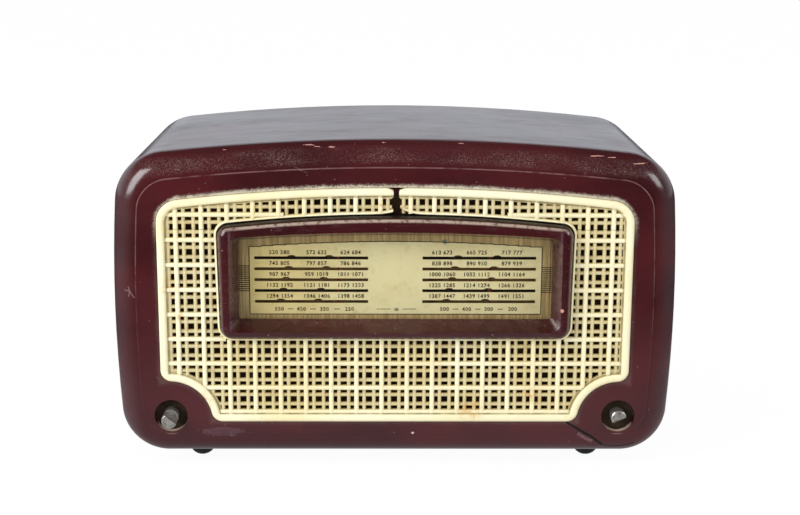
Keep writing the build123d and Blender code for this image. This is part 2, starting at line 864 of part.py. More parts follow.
def flatted(shaft, x, end, angle):
    """Cuts the flat for the knob's grub screw at the front end of a shaft."""
    away = shaft_flat + shaft_radius
    cutter = Pos(away, 0) * Rectangle(shaft_radius * 2, shaft_radius * 4)
    return shaft - slab(Pos(x, knob_z) * Rot(0, 0, angle) * cutter, end - 1, end + flat_length)


def make_volume_body():
    """Case and threaded bushing of the volume control, hollow for its wiper."""
    back = chassis_front + sheet + pot_length
    body = disc(-knob_x, knob_z, chassis_front + sheet, back, pot_radius)
    body += disc(-knob_x, knob_z, bushing_front, chassis_front + sheet + 0.5, bushing_radius)
    body -= disc(-knob_x, knob_z, bushing_front - 1.0, chassis_front + 4.0,
                 shaft_radius + bearing_clearance)
    return body - disc(-knob_x, knob_z, chassis_front + sheet + 2.0, back - 1.2, pot_radius - 1.2)


def make_volume_shaft():
    """The shaft, with the groove for its retaining clip just in front of the bushing."""
    shaft = disc(-knob_x, knob_z, -volume_proud, chassis_front + sheet + 9.0, shaft_radius)
    shaft = chamfer(shaft.edges().group_by(Axis.Y)[0], 0.4)
    groove_back = bushing_front - 0.2
    shaft -= ring(-knob_x, knob_z, groove_back - clip_groove_width, groove_back,
                  shaft_radius + 1, shaft_radius - clip_groove_depth)
    return flatted(shaft, -knob_x, -volume_proud, volume_flat_angle)


def make_volume_wiper():
    near = chassis_front + sheet + 5.0
    disk = ring(-knob_x, knob_z, near, near + 1.0, shaft_radius + 1.6, shaft_radius)
    arm = Pos(-knob_x, knob_z) * Rot(0, 0, 225) * Pos(5.6, 0) * Rectangle(3.2, 2.4)
    return disk + slab(arm, near, near + 0.8)


def make_mains_switch():
    near = chassis_front + sheet + pot_length
    body = disc(-knob_x, knob_z, near, near + switch_length, switch_radius)
    body = chamfer(body.edges().group_by(Axis.Y)[-1], 0.8)
    for side in (-1, 1):
        body += block(-knob_x + side * 4.0 - 1.5, -knob_x + side * 4.0 + 1.5,
                      near + switch_length - 0.5, near + switch_length + 5.0, knob_z - 0.4, knob_z + 0.4)
    return body


def make_control_nuts():
    nuts = []
    for x in (-knob_x, knob_x):
        hexagon = Pos(x, knob_z) * RegularPolygon(nut_across / 2, 6, major_radius=False)
        nut = hexagon - Pos(x, knob_z) * Circle(bushing_radius)
        nuts.append(slab(nut, chassis_front - 2.6, chassis_front))
    return together(nuts)


def make_tuning_bushing():
    body = disc(knob_x, knob_z, chassis_front - 4.0, chassis_front + 12.0, bushing_radius)
    body += disc(knob_x, knob_z, chassis_front + sheet, chassis_front + sheet + 2.0, bushing_radius + 2.1)
    return body - disc(knob_x, knob_z, 0, chassis_front + 13.0, shaft_radius + bearing_clearance)


def make_tuning_shaft():
    end = chassis_front + 12.0
    shaft = disc(knob_x, knob_z, -tuning_proud, end + 0.2, shaft_radius)
    shaft = chamfer(shaft.edges().group_by(Axis.Y)[0], 0.4)
    root = spindle_pitch_radius - cord_radius - cord_gap
    shaft -= ring(knob_x, knob_z, drive_depth - 0.9, drive_depth + 0.9, shaft_radius + 1, root)
    shaft += disc(knob_x, knob_z, end + 0.2, end + 1.2, shaft_radius + 1.2)
    return flatted(shaft, knob_x, -tuning_proud, tuning_flat_angle)


# Chassis and what stands on it

valve_row = chassis_back - 12.0
valve_radius = 9.0
valve_height = 46.0
socket_height = 4.0
valve_places = {
    "valve_mixer": -84.0,
    "valve_intermediate": -40.0,
    "valve_detector": 4.0,
    "valve_output": 26.0,
    "valve_rectifier": 48.0,
}
can_places = {"if_can_first": -62.0, "if_can_second": -18.0}
can_width = 18.0
can_height = 40.0
capacitor_x = 74.0
capacitor_radius = 11.0


def make_chassis():
    """A folded steel chassis, open below, with a lip along the foot of each apron."""
    low = base + chassis_low
    body = block(-chassis_half_width, chassis_half_width, chassis_front, chassis_back,
                 chassis_top - sheet, chassis_top)
    for near in (chassis_front, chassis_back - sheet):
        body += block(-chassis_half_width, chassis_half_width, near, near + sheet, low, chassis_top)
    body += block(-chassis_half_width + 8, chassis_half_width - 8, chassis_front, chassis_front + lip,
                  low, low + sheet)
    body += block(-chassis_half_width + 8, chassis_half_width - 8, chassis_back - lip, chassis_back,
                  low, low + sheet)
    for x in (-knob_x, knob_x):
        body -= disc(x, knob_z, chassis_front - 1, chassis_front + sheet + 0.5, bushing_radius)
    for x, z in panel_fixings:
        body -= disc(x, z, chassis_front - 1, chassis_front + sheet + 0.5, fixing_radius)
    for x, depth in chassis_fixings:
        body -= upright(x, depth, low - 1, low + sheet + 1, chassis_screw_radius)
    for x in valve_places.values():
        body -= upright(x, valve_row, chassis_top - 3, chassis_top + 1, socket_bore)
    body -= disc(aerial_x, aerial_z, chassis_back - 3, chassis_back + 1, 6.0)
    return body


socket_bore = 6.5
aerial_x = -52.0
aerial_z = base + 20.0
selector_x = 40.0
selector_z = base + 20.0
grommet_x = 78.0
grommet_z = base + 18.0


def make_chassis_screws():
    one = screw(3.6, 1.9, chassis_screw_radius, chassis_low + sheet + 1.0)
    return together([facing_down(x, depth, base).location * one for x, depth in chassis_fixings])


def make_valve(x):
    """A small all-glass valve: a domed envelope with an exhaust tip, and seven pins."""
    low = chassis_top + socket_height
    high = low + valve_height
    neck = 2.5
    profile = make_face([
        Line((0, low), (valve_radius - 1.0, low)),
        Line((valve_radius - 1.0, low), (valve_radius, low + 1.5)),
        Line((valve_radius, low + 1.5), (valve_radius, high - 8.0)),
        ThreePointArc((valve_radius, high - 8.0), (valve_radius * 0.72, high - 3.2), (neck, high - 1.6)),
        Line((neck, high - 1.6), (0, high + 2.0)),
        Line((0, high + 2.0), (0, low)),
    ])
    glass = revolve(Plane.XZ * profile, Axis.Z)
    for i in range(7):
        angle = math.radians(45 * i)
        pin = Pos(4.8 * math.cos(angle), 4.8 * math.sin(angle), low - 2.4) * Cylinder(0.5, 5.2)
        glass += pin
    return Pos(x, front_y + valve_row, 0) * glass


def make_valve_sockets():
    sockets = []
    for x in valve_places.values():
        body = upright(x, valve_row, chassis_top, chassis_top + socket_height, valve_radius)
        body += upright(x, valve_row, chassis_top - sheet - 4.0, chassis_top + 0.5, socket_bore)
        for i in range(7):
            angle = math.radians(45 * i)
            body -= upright(x + 4.8 * math.cos(angle), valve_row + 4.8 * math.sin(angle),
                            chassis_top - 2.0, chassis_top + socket_height + 1, 0.5)
        sockets.append(body)
    return together(sockets)


def make_can(x):
    """A screened coil can with two tuning holes in its top."""
    can = block(x - can_width / 2, x + can_width / 2, valve_row - can_width / 2,
                valve_row + can_width / 2, chassis_top, chassis_top + can_height)
    can = fillet(can.edges().filter_by(Axis.Z), 2.5)
    can = fillet(can.edges().group_by(Axis.Z)[-1], 1.0)
    for side in (-1, 1):
        can -= upright(x + side * 4.5, valve_row, chassis_top + can_height - 12.0,
                       chassis_top + can_height + 1, 2.0)
    return can


transformer_x = 68.0
transformer_depth = chassis_front + 26.0
core_width = 44.0
core_height = 37.0
core_stack = 18.0
core_leg = 7.0


def make_transformer_core():
    low = chassis_top
    core = block(transformer_x - core_width / 2, transformer_x + core_width / 2,
                 transformer_depth - core_stack / 2, transformer_depth + core_stack / 2,
                 low, low + core_height)
    window = core_width / 2 - core_leg * 2
    for side in (-1, 1):
        middle = transformer_x + side * (core_leg + window / 2)
        core -= block(middle - window / 2, middle + window / 2, transformer_depth - core_stack,
                      transformer_depth + core_stack, low + core_leg, low + core_height - core_leg)
    return core


def make_transformer_winding():
    low = chassis_top + core_leg + 0.3
    high = chassis_top + core_height - core_leg - 0.3
    reach = core_width / 2 - core_leg - 0.3
    depth_reach = core_stack / 2 + (reach - core_leg)
    coil = block(transformer_x - reach, transformer_x + reach, transformer_depth - depth_reach,
                 transformer_depth + depth_reach, low, high)
    coil = fillet(coil.edges().filter_by(Axis.Z), 3.0)
    return coil - block(transformer_x - core_leg, transformer_x + core_leg,
                        transformer_depth - core_stack / 2, transformer_depth + core_stack / 2,
                        low - 1, high + 1)


def make_output_transformer():
    half = 9.5
    middle = valve_row - valve_radius - 0.5 - half
    core = block(-14.0, 14.0, middle - 6.0, middle + 6.0, chassis_top, chassis_top + 20.0)
    coil = block(-8.0, 8.0, middle - half, middle + half, chassis_top + 4.0, chassis_top + 16.0)
    return core + fillet(coil.edges().filter_by(Axis.Z), 2.5)


def make_smoothing_capacitor():
    can = upright(capacitor_x, valve_row, chassis_top, chassis_top + 48.0, capacitor_radius)
    can = fillet(can.edges().group_by(Axis.Z)[-1], 1.5)
    return can + upright(capacitor_x, valve_row, chassis_top, chassis_top + 3.0, capacitor_radius + 0.8)


# Loudspeaker

basket_sheet = 1.2
cone_edge_radius = 30.6
cone_sheet = 0.6
travel_room = 1.2


def turned(points):
    """A solid turned about the loudspeaker's axis from radius and depth pairs."""
    lines = [Line(points[i], points[(i + 1) % len(points)]) for i in range(len(points))]
    profile = make_face(lines)
    solid = revolve(profile, Axis.Y)
    return Pos(0, front_y + chassis_front, speaker_z) * solid


def make_speaker_frame():
    rim_inner = speaker_radius - 4.4
    frame = turned([
        (rim_inner, 0), (speaker_radius, 0), (speaker_radius, basket_sheet),
        (speaker_radius - 2.0, basket_sheet), (basket_throat + basket_sheet, basket_depth - basket_sheet),
        (basket_throat + basket_sheet, basket_depth), (11.2, basket_depth),
        (11.2, basket_depth - basket_sheet), (basket_throat, basket_depth - basket_sheet),
        (rim_inner, basket_sheet + 0.6),
    ])
    for angle in (0, 90, 180, 270):
        window = Pos(0, front_y + chassis_front + basket_depth * 0.55, speaker_z) * Rot(0, angle, 0)
        frame -= window * Pos(0, 0, 28.0) * Box(20.0, 8.0, 20.0)
    for x, z in speaker_fixings():
        frame -= disc(x, z, chassis_front - 1, chassis_front + 3, fixing_radius)
    return frame


def make_speaker_magnet():
    """Ring magnet, back plate and centre pole, with the gap for the voice coil."""
    near = basket_depth
    far = basket_depth + magnet_depth
    return turned([
        (voice_coil_radius + 1.0, near), (magnet_radius, near), (magnet_radius, far), (0, far),
        (0, near), (voice_coil_radius - 1.0, near), (voice_coil_radius - 1.0, far - 4.0),
        (voice_coil_radius + 1.0, far - 4.0),
    ])


def make_speaker_cone():
    """Paper cone with its rolled edge, dust cap and voice coil in one piece."""
    neck = voice_coil_radius + 0.3
    throat = basket_depth - 5.0
    return turned([
        (0, throat - 2.2), (5.5, throat - 1.4), (neck, throat - 0.2),
        (cone_edge_radius - 4.0, 1.9), (cone_edge_radius - 2.0, travel_room),
        (cone_edge_radius, 1.9), (cone_edge_radius, 1.9 + cone_sheet),
        (cone_edge_radius - 2.0, travel_room + cone_sheet), (cone_edge_radius - 3.8, 1.9 + cone_sheet),
        (neck, throat + cone_sheet), (neck, basket_depth + 6.0), (neck - 0.6, basket_depth + 6.0),
        (neck - 0.6, throat + 0.2), (5.2, throat - 0.9), (0, throat - 1.7),
    ])


# Back and feet

def make_back_cover():
    """Hardboard back with vent slots and openings for the sockets."""
    face = cabinet_outline(back_rebate + cover_clearance)
    for x, z in cover_fixings:
        face -= Pos(x, z) * Circle(cover_screw_radius + 0.2)
    for row in range(7):
        z = base + 52.0 + row * 9.0
        for column in (-2, -1, 0, 1, 2):
            face -= Pos(column * 34.0, z) * SlotOverall(26.0, 3.2)
    for column in (-2, -1, 0, 1, 2):
        face -= Pos(column * 16.0 - 6.0, base + 9.5) * SlotOverall(12.0, 3.2)
    face -= Pos(aerial_x, aerial_z) * RectangleRounded(34.0, 13.0, 3.0)
    face -= Pos(selector_x, selector_z) * Circle(selector_radius + 0.3)
    for x, z in selector_rivets():
        face -= Pos(x, z) * Circle(rivet_radius)
    face -= Pos(grommet_x, grommet_z) * Circle(grommet_radius)
    return slab(face, cover_front, cover_back)


selector_radius = 10.0
selector_flange = 11.6
rivet_radius = 1.0
grommet_radius = 5.0
grommet_bore = 3.0


def make_cover_screws():
    one = screw(3.2, 1.3, cover_screw_radius, back_cover_thickness + 7.0)
    return together([facing_back(x, cover_back, z).location * one for x, z in cover_fixings])


def make_aerial_socket():
    """Insulating strip with two sockets, on a boss that reaches from the chassis to the back."""
    plate = Pos(aerial_x, aerial_z) * RectangleRounded(32.0, 11.0, 2.0)
    strip = slab(plate, cover_front, cover_front + 2.0)
    strip += disc(aerial_x, aerial_z, chassis_back - 2.0, cover_front + 0.5, 5.0)
    for side in (-1, 1):
        x = aerial_x + side * 8.0
        strip += ring(x, aerial_z, cover_front - 6.0, cover_front + 2.6, 3.2, 2.0)
        strip -= disc(x, aerial_z, cover_front - 5.0, cover_front + 3.0, 2.0)
    return strip


def selector_rivets():
    """Where the selector's housing is riveted to the cover."""
    return [(selector_x + side * (selector_radius + 3.6), selector_z) for side in (-1, 1)]


def make_selector_housing():
    """Moulded cup riveted inside the back cover, in which the selector turns."""
    near = cover_front - 9.0
    cup = disc(selector_x, selector_z, near, cover_front, selector_radius + 6.0)
    cup -= disc(selector_x, selector_z, cover_front - 6.3, cover_front + 1, selector_radius + 0.3)
    cup -= disc(selector_x, selector_z, cover_front - 1.6, cover_front + 1, selector_flange + 0.3)
    for x, z in selector_rivets():
        cup += disc(x, z, cover_front - 0.5, cover_back, rivet_radius)
        cup += disc(x, z, cover_back, cover_back + 0.6, rivet_radius * 1.5)
    return cup


def make_voltage_selector():
    """A round plug with a coin slot, turned to one of its voltage positions."""
    body = disc(selector_x, selector_z, cover_front - 6.0, cover_back, selector_radius)
    body += disc(selector_x, selector_z, cover_front - 1.3, cover_front, selector_flange)
    body -= block(selector_x - 6.5, selector_x + 6.5, cover_back - 1.5, cover_back + 1,
                  selector_z - 0.8, selector_z + 0.8)
    return body


def make_grommet():
    groove = grommet_radius
    body = ring(grommet_x, grommet_z, cover_front - 1.8, cover_back + 1.2, groove + 2.0, grommet_bore)
    return body - ring(grommet_x, grommet_z, cover_front, cover_back, groove + 3.0, groove)


def make_feet():
    """Domed rubber feet, each with a sunk hole for its screw."""
    feet = []
    for side in (-1, 1):
        for depth in foot_depths:
            profile = make_face([
                Line((0, 0), (foot_flat, 0)),
                ThreePointArc((foot_flat, 0), (foot_top_radius - 0.35, foot_height * 0.4),
                              (foot_top_radius, foot_height)),
                Line((foot_top_radius, foot_height), (0, foot_height)),
                Line((0, foot_height), (0, 0)),
            ])
            foot = revolve(Plane.XZ * profile, Axis.Z)
            foot -= Pos(0, 0, 1.2) * Cylinder(2.1, 2.6)
            foot -= Pos(0, 0, foot_height / 2) * Cylinder(foot_screw_radius, foot_height + 1)
            feet.append(Pos(side * foot_x, front_y + depth, 0) * foot)
    return together(feet)


def make_foot_screws():
    head_low = 2.5
    screws = []
    for side in (-1, 1):
        for depth in foot_depths:
            x = side * foot_x
            screws.append(upright(x, depth, head_low - 1.2, head_low, 2.0)
                          + upright(x, depth, head_low - 0.3, base + cabinet_wall, foot_screw_radius))
    return together(screws)


def all_parts():
    parts = {
        "cabinet": make_cabinet,
        "grille": make_grille,
        "grille_nuts": make_grille_nuts,
        "speaker_cloth": make_cloth,
        "cloth_board": make_board,
        "board_screws": make_board_screws,
        "dial_bezel": make_bezel,
        "dial_glass": make_glass,
        "dial_scale": make_scale,
        "dial_clips": make_dial_clips,
        "dial_screws": make_dial_screws,
        "front_panel": make_front_panel,
        "panel_screws": make_panel_screws,
        "dial_backplate": make_backplate,
        "backplate_spacers": make_spacers,
        "dial_lamps": make_lamps,
        "lamp_holders": make_lamp_holders,
        "pointer_rail": make_rail,
        "pointer_carriage": make_carriage,
        "pointers": make_pointers,
        "dial_cord": make_cord,
        "cord_pulley_left": lambda: make_pulley(left_pulley_x),
        "cord_pulley_right": lambda: make_pulley(right_pulley_x),
        "pulley_pins": make_pulley_pins,
        "gang_frame": make_gang_frame,
        "gang_stator": make_gang_stator,
        "gang_rotor": make_gang_rotor,
        "cord_drum": make_drum,
        "volume_body": make_volume_body,
        "volume_shaft": make_volume_shaft,
        "volume_wiper": make_volume_wiper,
        "mains_switch": make_mains_switch,
        "control_nuts": make_control_nuts,
        "tuning_bushing": make_tuning_bushing,
        "tuning_shaft": make_tuning_shaft,
        "chassis": make_chassis,
        "chassis_screws": make_chassis_screws,
        "valve_sockets": make_valve_sockets,
        "transformer_core": make_transformer_core,
        "transformer_winding": make_transformer_winding,
        "output_transformer": make_output_transformer,
        "smoothing_capacitor": make_smoothing_capacitor,
        "speaker_frame": make_speaker_frame,
        "speaker_magnet": make_speaker_magnet,
        "speaker_cone": make_speaker_cone,
        "back_cover": make_back_cover,
        "back_cover_screws": make_cover_screws,
        "aerial_socket": make_aerial_socket,
        "selector_housing": make_selector_housing,
        "voltage_selector": make_voltage_selector,
        "mains_grommet": make_grommet,
        "feet": make_feet,
        "foot_screws": make_foot_screws,
    }
    for name, x in valve_places.items():
        parts[name] = lambda x=x: make_valve(x)
    for name, x in can_places.items():
        parts[name] = lambda x=x: make_can(x)
    return parts


def main():
    os.makedirs("parts", exist_ok=True)
    for name, make in all_parts().items():
        export_step(make(), f"parts/{name}.step")


if __name__ == "__main__":
    main()
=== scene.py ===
# %% [markdown]
# # A small table radio, finished in Blender
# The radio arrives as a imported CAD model: a maroon moulded cabinet, a cream grille, a dial behind glass,
# and the works inside, all in their real places. This lesson gives every solid a finish, and models anew
# the pieces whose looks lie in soft edges, weave or print. Lengths are written in millimetres, as on the
# radio's drawing, and become metres where Blender is given them.

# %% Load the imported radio
import math
from functools import reduce

import bmesh
import bpy
from mathutils import Matrix, Vector


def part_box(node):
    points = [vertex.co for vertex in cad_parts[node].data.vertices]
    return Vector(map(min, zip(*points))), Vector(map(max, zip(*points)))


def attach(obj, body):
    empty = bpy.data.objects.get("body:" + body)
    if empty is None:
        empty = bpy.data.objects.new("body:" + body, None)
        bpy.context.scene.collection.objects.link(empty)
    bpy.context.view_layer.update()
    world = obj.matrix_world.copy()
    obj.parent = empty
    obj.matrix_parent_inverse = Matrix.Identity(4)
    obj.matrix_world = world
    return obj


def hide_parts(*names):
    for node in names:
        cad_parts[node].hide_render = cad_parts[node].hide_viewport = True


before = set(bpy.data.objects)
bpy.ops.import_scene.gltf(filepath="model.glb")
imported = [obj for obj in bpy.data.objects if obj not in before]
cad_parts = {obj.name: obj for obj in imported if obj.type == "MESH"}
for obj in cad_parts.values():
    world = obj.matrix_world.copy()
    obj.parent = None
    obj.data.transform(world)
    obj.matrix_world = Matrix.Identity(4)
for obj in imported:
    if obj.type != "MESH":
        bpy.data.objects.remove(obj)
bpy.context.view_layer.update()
MM = 0.001
front_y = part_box("cabinet")[0].y / MM
print("front plane at y", round(front_y, 2), "mm,", len(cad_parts), "nodes")

# %% [markdown]
# ## The camera
# A photographer stood a little over half a metre away and looked slightly down. A lens of 67.5 mm on a
# 36 mm sensor has the same narrow view. The small turn about the line of sight is the tilt of the camera
# on its tripod.

# %% Camera
side_angle, down_angle, tilt = -0.72, 13.15, 0.272
turn = (Matrix.Rotation(math.radians(side_angle), 4, "Z")
        @ Matrix.Rotation(math.radians(90 - down_angle), 4, "X")
        @ Matrix.Rotation(math.radians(tilt), 4, "Z"))
bpy.ops.object.camera_add(location=Vector((-5.4, -618.7, 220.3)) * MM, rotation=turn.to_euler())
camera = bpy.context.object
camera.name = "photo_camera"
camera.data.lens = 67.5
camera.data.sensor_width = 36.0
camera.data.clip_start = 0.01
camera.data.clip_end = 50.0
bpy.context.scene.camera = camera
bpy.context.scene.view_settings.view_transform = "Standard"

# %% [markdown]
# ## Values that add nodes
# A finish is easier to read as a sum than as a web of nodes. A `Value` stands for one output of a node,
# and Python's signs add the Math nodes for it. A `Paint` is one material: it knows where a point lies,
# in millimetres, lays colours one over another, and one method adds any other node.

# %% Value
def operator(kind, swapped=False):
    """A method that adds one Math node."""
    def apply(self, other=0.0):
        pair = {0: other, 1: self} if swapped else {0: self, 1: other}
        return self.paint.node("Math", {"operation": kind}, pair)
    return apply


class Value:
    """One output of a node. A sum of values adds the nodes that work it out."""

    def __init__(self, paint, node, output):
        self.paint = paint
        self.node = node
        self.socket = node.outputs[output] if node.outputs else None

    def also(self, output):
        return Value(self.paint, self.node, output)

    __add__ = operator("ADD")
    __radd__ = operator("ADD", True)
    __sub__ = operator("SUBTRACT")
    __rsub__ = operator("SUBTRACT", True)
    __mul__ = operator("MULTIPLY")
    __rmul__ = operator("MULTIPLY", True)
    __truediv__ = operator("DIVIDE")
    __pow__ = operator("POWER")
    least = operator("MINIMUM")
    most = operator("MAXIMUM")
    size = operator("ABSOLUTE")
    wave = operator("SINE")


def length(first, second):
    return (first * first + second * second) ** 0.5


def strongest(shares):
    return reduce(Value.most, shares)


# %% Paint
def colour(red, green, blue):
    """A colour as a picture program gives it, from 0 to 255, made linear."""
    shares = [share / 255 for share in (red, green, blue)]
    return tuple(s / 12.92 if s <= 0.04045 else ((s + 0.055) / 1.055) ** 2.4 for s in shares) + (1.0,)


class Nodes:
    """A tree of nodes, emptied, and the ways to add to it."""

    def __init__(self, tree):
        self.tree = tree
        self.tree.nodes.clear()

    def node(self, kind, settings, inputs, output=0):
        """Adds a node: its settings first, then a value or a link for each socket."""
        made = self.tree.nodes.new("ShaderNode" + kind)
        for name, setting in settings.items():
            setattr(made, name, setting)
        for name, value in inputs.items():
            if isinstance(value, Value):
                self.tree.links.new(value.socket, made.inputs[name])
            else:
                made.inputs[name].default_value = value
        return Value(self, made, output)

    def mix(self, share, first, second):
        """From the first colour to the second. Three numbers are a colour as a picture program gives it."""
        ends = [colour(*end) if isinstance(end, tuple) and len(end) == 3 else end for end in (first, second)]
        return self.node("Mix", {"data_type": "RGBA"}, {0: share, 6: ends[0], 7: ends[1]}, 2)

    def shades(self, pattern, low, high, first, second):
        """One colour where the pattern is low, the other where it is high."""
        return self.mix(self.rise(pattern, low, high), first, second)

    def rise(self, value, low, high):
        """0 where the value is below low, 1 above high, and smooth between."""
        inputs = {"Value": value, "From Min": low, "From Max": high}
        return self.node("MapRange", {"interpolation_type": "SMOOTHSTEP"}, inputs)

    def band(self, value, middle, half, soft):
        """1 within half of the middle, falling to 0 over the soft margin."""
        return 1 - self.rise((value - middle).size(), half, half + soft)


class Paint(Nodes):
    """One material, and the millimetre place of each point of the radio."""

    def __init__(self, name):
        self.material = bpy.data.materials.new(name)
        self.material.use_nodes = True
        super().__init__(self.material.node_tree)
        self.place = self.node("TexCoord", {}, {}, "Object")
        parts = self.node("SeparateXYZ", {}, {0: self.place})
        self.x = parts.also(0) / MM
        self.depth = parts.also(1) / MM - front_y
        self.z = parts.also(2) / MM

    def noise(self, size, detail=3.0, stretch=(1, 1, 1), rough=0.55):
        """Noise with features of about this many millimetres."""
        inputs = {"Vector": self.spread(size, stretch), "Scale": 1.0, "Detail": detail, "Roughness": rough}
        return self.node("TexNoise", {}, inputs, "Fac")

    def spread(self, size, stretch=(1, 1, 1)):
        scale = [1 / (size * MM * share) for share in stretch]
        return self.node("Mapping", {}, {"Vector": self.place, "Scale": scale})

    def cloud(self, size, low, high, *settings):
        """Noise as a share: 0 below low, 1 above high."""
        return self.rise(self.noise(size, *settings), low, high)

    def specks(self, pitch, radius, share):
        """Small round specks, in this share of the cells of a random net."""
        inputs = {"Vector": self.spread(pitch), "Scale": 1.0}
        cell = self.node("TexVoronoi", {}, inputs, "Distance")
        chance = self.node("SeparateColor", {}, {0: cell.also("Color")})
        chosen = self.rise(chance, 1 - share, 1 - share + 0.01)
        return chosen * (1 - self.rise(cell, radius / pitch * 0.5, radius / pitch))

    def stain(self, share, paint, dull=0.0, raised=0.0):
        """Lays a colour over the base, and can dull or dent it too."""
        self.base = self.mix(share, self.base, paint)
        if dull:
            self.roughness = self.roughness + share * dull
        if raised:
            self.height = self.height + share * raised

    def finish(self, roughness, height=None, fixed=None):
        """The shader. Height is in millimetres and becomes a bump."""
        inputs = {"Base Color": self.base, "Roughness": roughness}
        if height is not None:
            inputs["Normal"] = self.node("Bump", {}, {"Height": height, "Distance": MM}, "Normal")
        inputs.update(fixed or {})
        return self.node("BsdfPrincipled", {}, inputs)

    def show(self, shader):
        self.node("OutputMaterial", {}, {"Surface": shader})
        return self.material

    def dress(self, *settings):
        return self.show(self.finish(*settings))


def give(material, *names):
    """Puts a finish on nodes of the radio, or on pieces modelled here."""
    for name in names:
        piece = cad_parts[name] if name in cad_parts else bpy.data.objects[name]
        piece.data.materials.clear()
        piece.data.materials.append(material)
    print(material.name, "on", ", ".join(names))


# %% [markdown]
# ## The studio
# The radio stood on a white table that ran on far behind it. For the camera the floor is nearly a light of
# its own, and its small matt share keeps the shadow. A reflection sees it dark close to the radio and pale
# further off. The world does the same above it. Nothing bright stood in front of the radio, which is why
# its front looks dark and its top, seen at a slant, mirrors the white behind it.

# %% Floor
bpy.ops.mesh.primitive_plane_add(size=22.0)
floor = bpy.context.object
floor.name = "floor"
floor_paint = Paint("white_floor")
rays = floor_paint.node("LightPath", {}, {}, "Is Camera Ray")
mirrored = rays.also("Is Glossy Ray")
seen = (rays.most(rays.also("Is Transmission Ray")) * 0.93).most(mirrored)
close = 1 - floor_paint.rise(length(floor_paint.x, floor_paint.depth), 90.0, 330.0)
lit = floor_paint.mix(close, (56, 56, 58), (172, 172, 176))
lit = floor_paint.mix(mirrored, (1.03, 1.03, 1.03, 1), lit)
matt = floor_paint.node("BsdfDiffuse", {}, {"Color": (0.80, 0.80, 0.80, 1)})
glow = floor_paint.node("Emission", {}, {"Color": lit, "Strength": 1.0})
floor.data.materials.append(floor_paint.show(
    floor_paint.node("MixShader", {}, {0: seen, 1: matt, 2: glow})))

# %% World
world = bpy.data.worlds.new("studio")
world.use_nodes = True
bpy.context.scene.world = world
sky = Nodes(world.node_tree)
toward = sky.node("SeparateXYZ", {}, {0: sky.node("TexCoord", {}, {}, "Generated")})
behind = sky.rise(toward.also(1), -0.30, 0.40) * (1 - sky.rise(toward.also(2), 0.42, 0.60))
rays = sky.node("LightPath", {}, {}, "Is Camera Ray")
seen = rays.most(rays.also("Is Transmission Ray"))
mirrored = (1 - seen) * rays.also("Is Glossy Ray")
around = (1 - seen) * (1 - rays.also("Is Glossy Ray"))
level = seen + mirrored * (0.05 + 0.72 * behind) + around * 0.62
tint = sky.mix(mirrored, (1, 1, 1, 1), (0.86, 0.93, 1.0, 1))
glow = sky.node("Background", {}, {"Color": tint, "Strength": level})
sky.node("OutputWorld", {}, {"Surface": glow})

# %% Lamps
def softbox(name, place, width, height, power):
    """A square lamp that faces the radio."""
    slope = Vector((0, 0, 0.06)) - Vector(place)
    bpy.ops.object.light_add(type="AREA", location=place, rotation=slope.to_track_quat("-Z", "Y").to_euler())
    lamp = bpy.context.object
    lamp.name = name
    lamp.data.shape = "RECTANGLE"
    lamp.data.size = width
    lamp.data.size_y = height
    lamp.data.energy = power


softbox("key_softbox", (-1.0, -0.78, 0.60), 0.6, 0.9, 14.0)
softbox("fill_softbox", (1.3, -0.8, 0.75), 0.6, 0.6, 7.0)

# %% [markdown]
# ## The shape of the front
# The cabinet, the grille and the dial all have an outline with a flat foot and an arched top. The same few
# sizes serve twice here: they place the wear and the painted shade on the finishes, and they guide the
# grille's bars.
# An arc that rises by a little over a wide chord has a radius that follows from both.

# %% Outline sizes
def sagitta_radius(chord, rise):
    return (chord ** 2 / 4 + rise ** 2) / (2 * rise)


cabinet_half, cabinet_low, cabinet_high = 111.1, 6.0, 132.9
side_bow, top_arch = 3.0, 7.0
grille_half, grille_low, grille_high, grille_arch = 92.5, 20.8, 115.2, 5.8
bezel_foot_half, bezel_half, bezel_low, bezel_high, bezel_arch = 68.1, 68.85, 55.5, 104.5, 4.1
knob_x, scoop_radius, scoop_corner = 88.9, 16.6, 4.5
knob_z, knob_hole_radius = 23.0, 6.6
cabinet_top_radius = sagitta_radius((cabinet_half - side_bow) * 2, top_arch)
cabinet_side_radius = sagitta_radius(cabinet_high - cabinet_low - top_arch, side_bow)
cabinet_side_middle = (cabinet_low + cabinet_high - top_arch) / 2
grille_radius = sagitta_radius(grille_half * 2, grille_arch)
bezel_radius = sagitta_radius(bezel_half * 2, bezel_arch)

# %% [markdown]
# ## Maroon moulding
# The cabinet and the dial's frame are pressed phenolic. Its powder never mixes quite evenly, so the
# colour drifts a little over a few centimetres, and decades of wiping leave the gloss uneven. The bump is
# a faint orange peel. The marks of this radio are added by place: lines of points for the crack
# and scratches, small blots for the chips, and dust where a cloth doesn't reach.

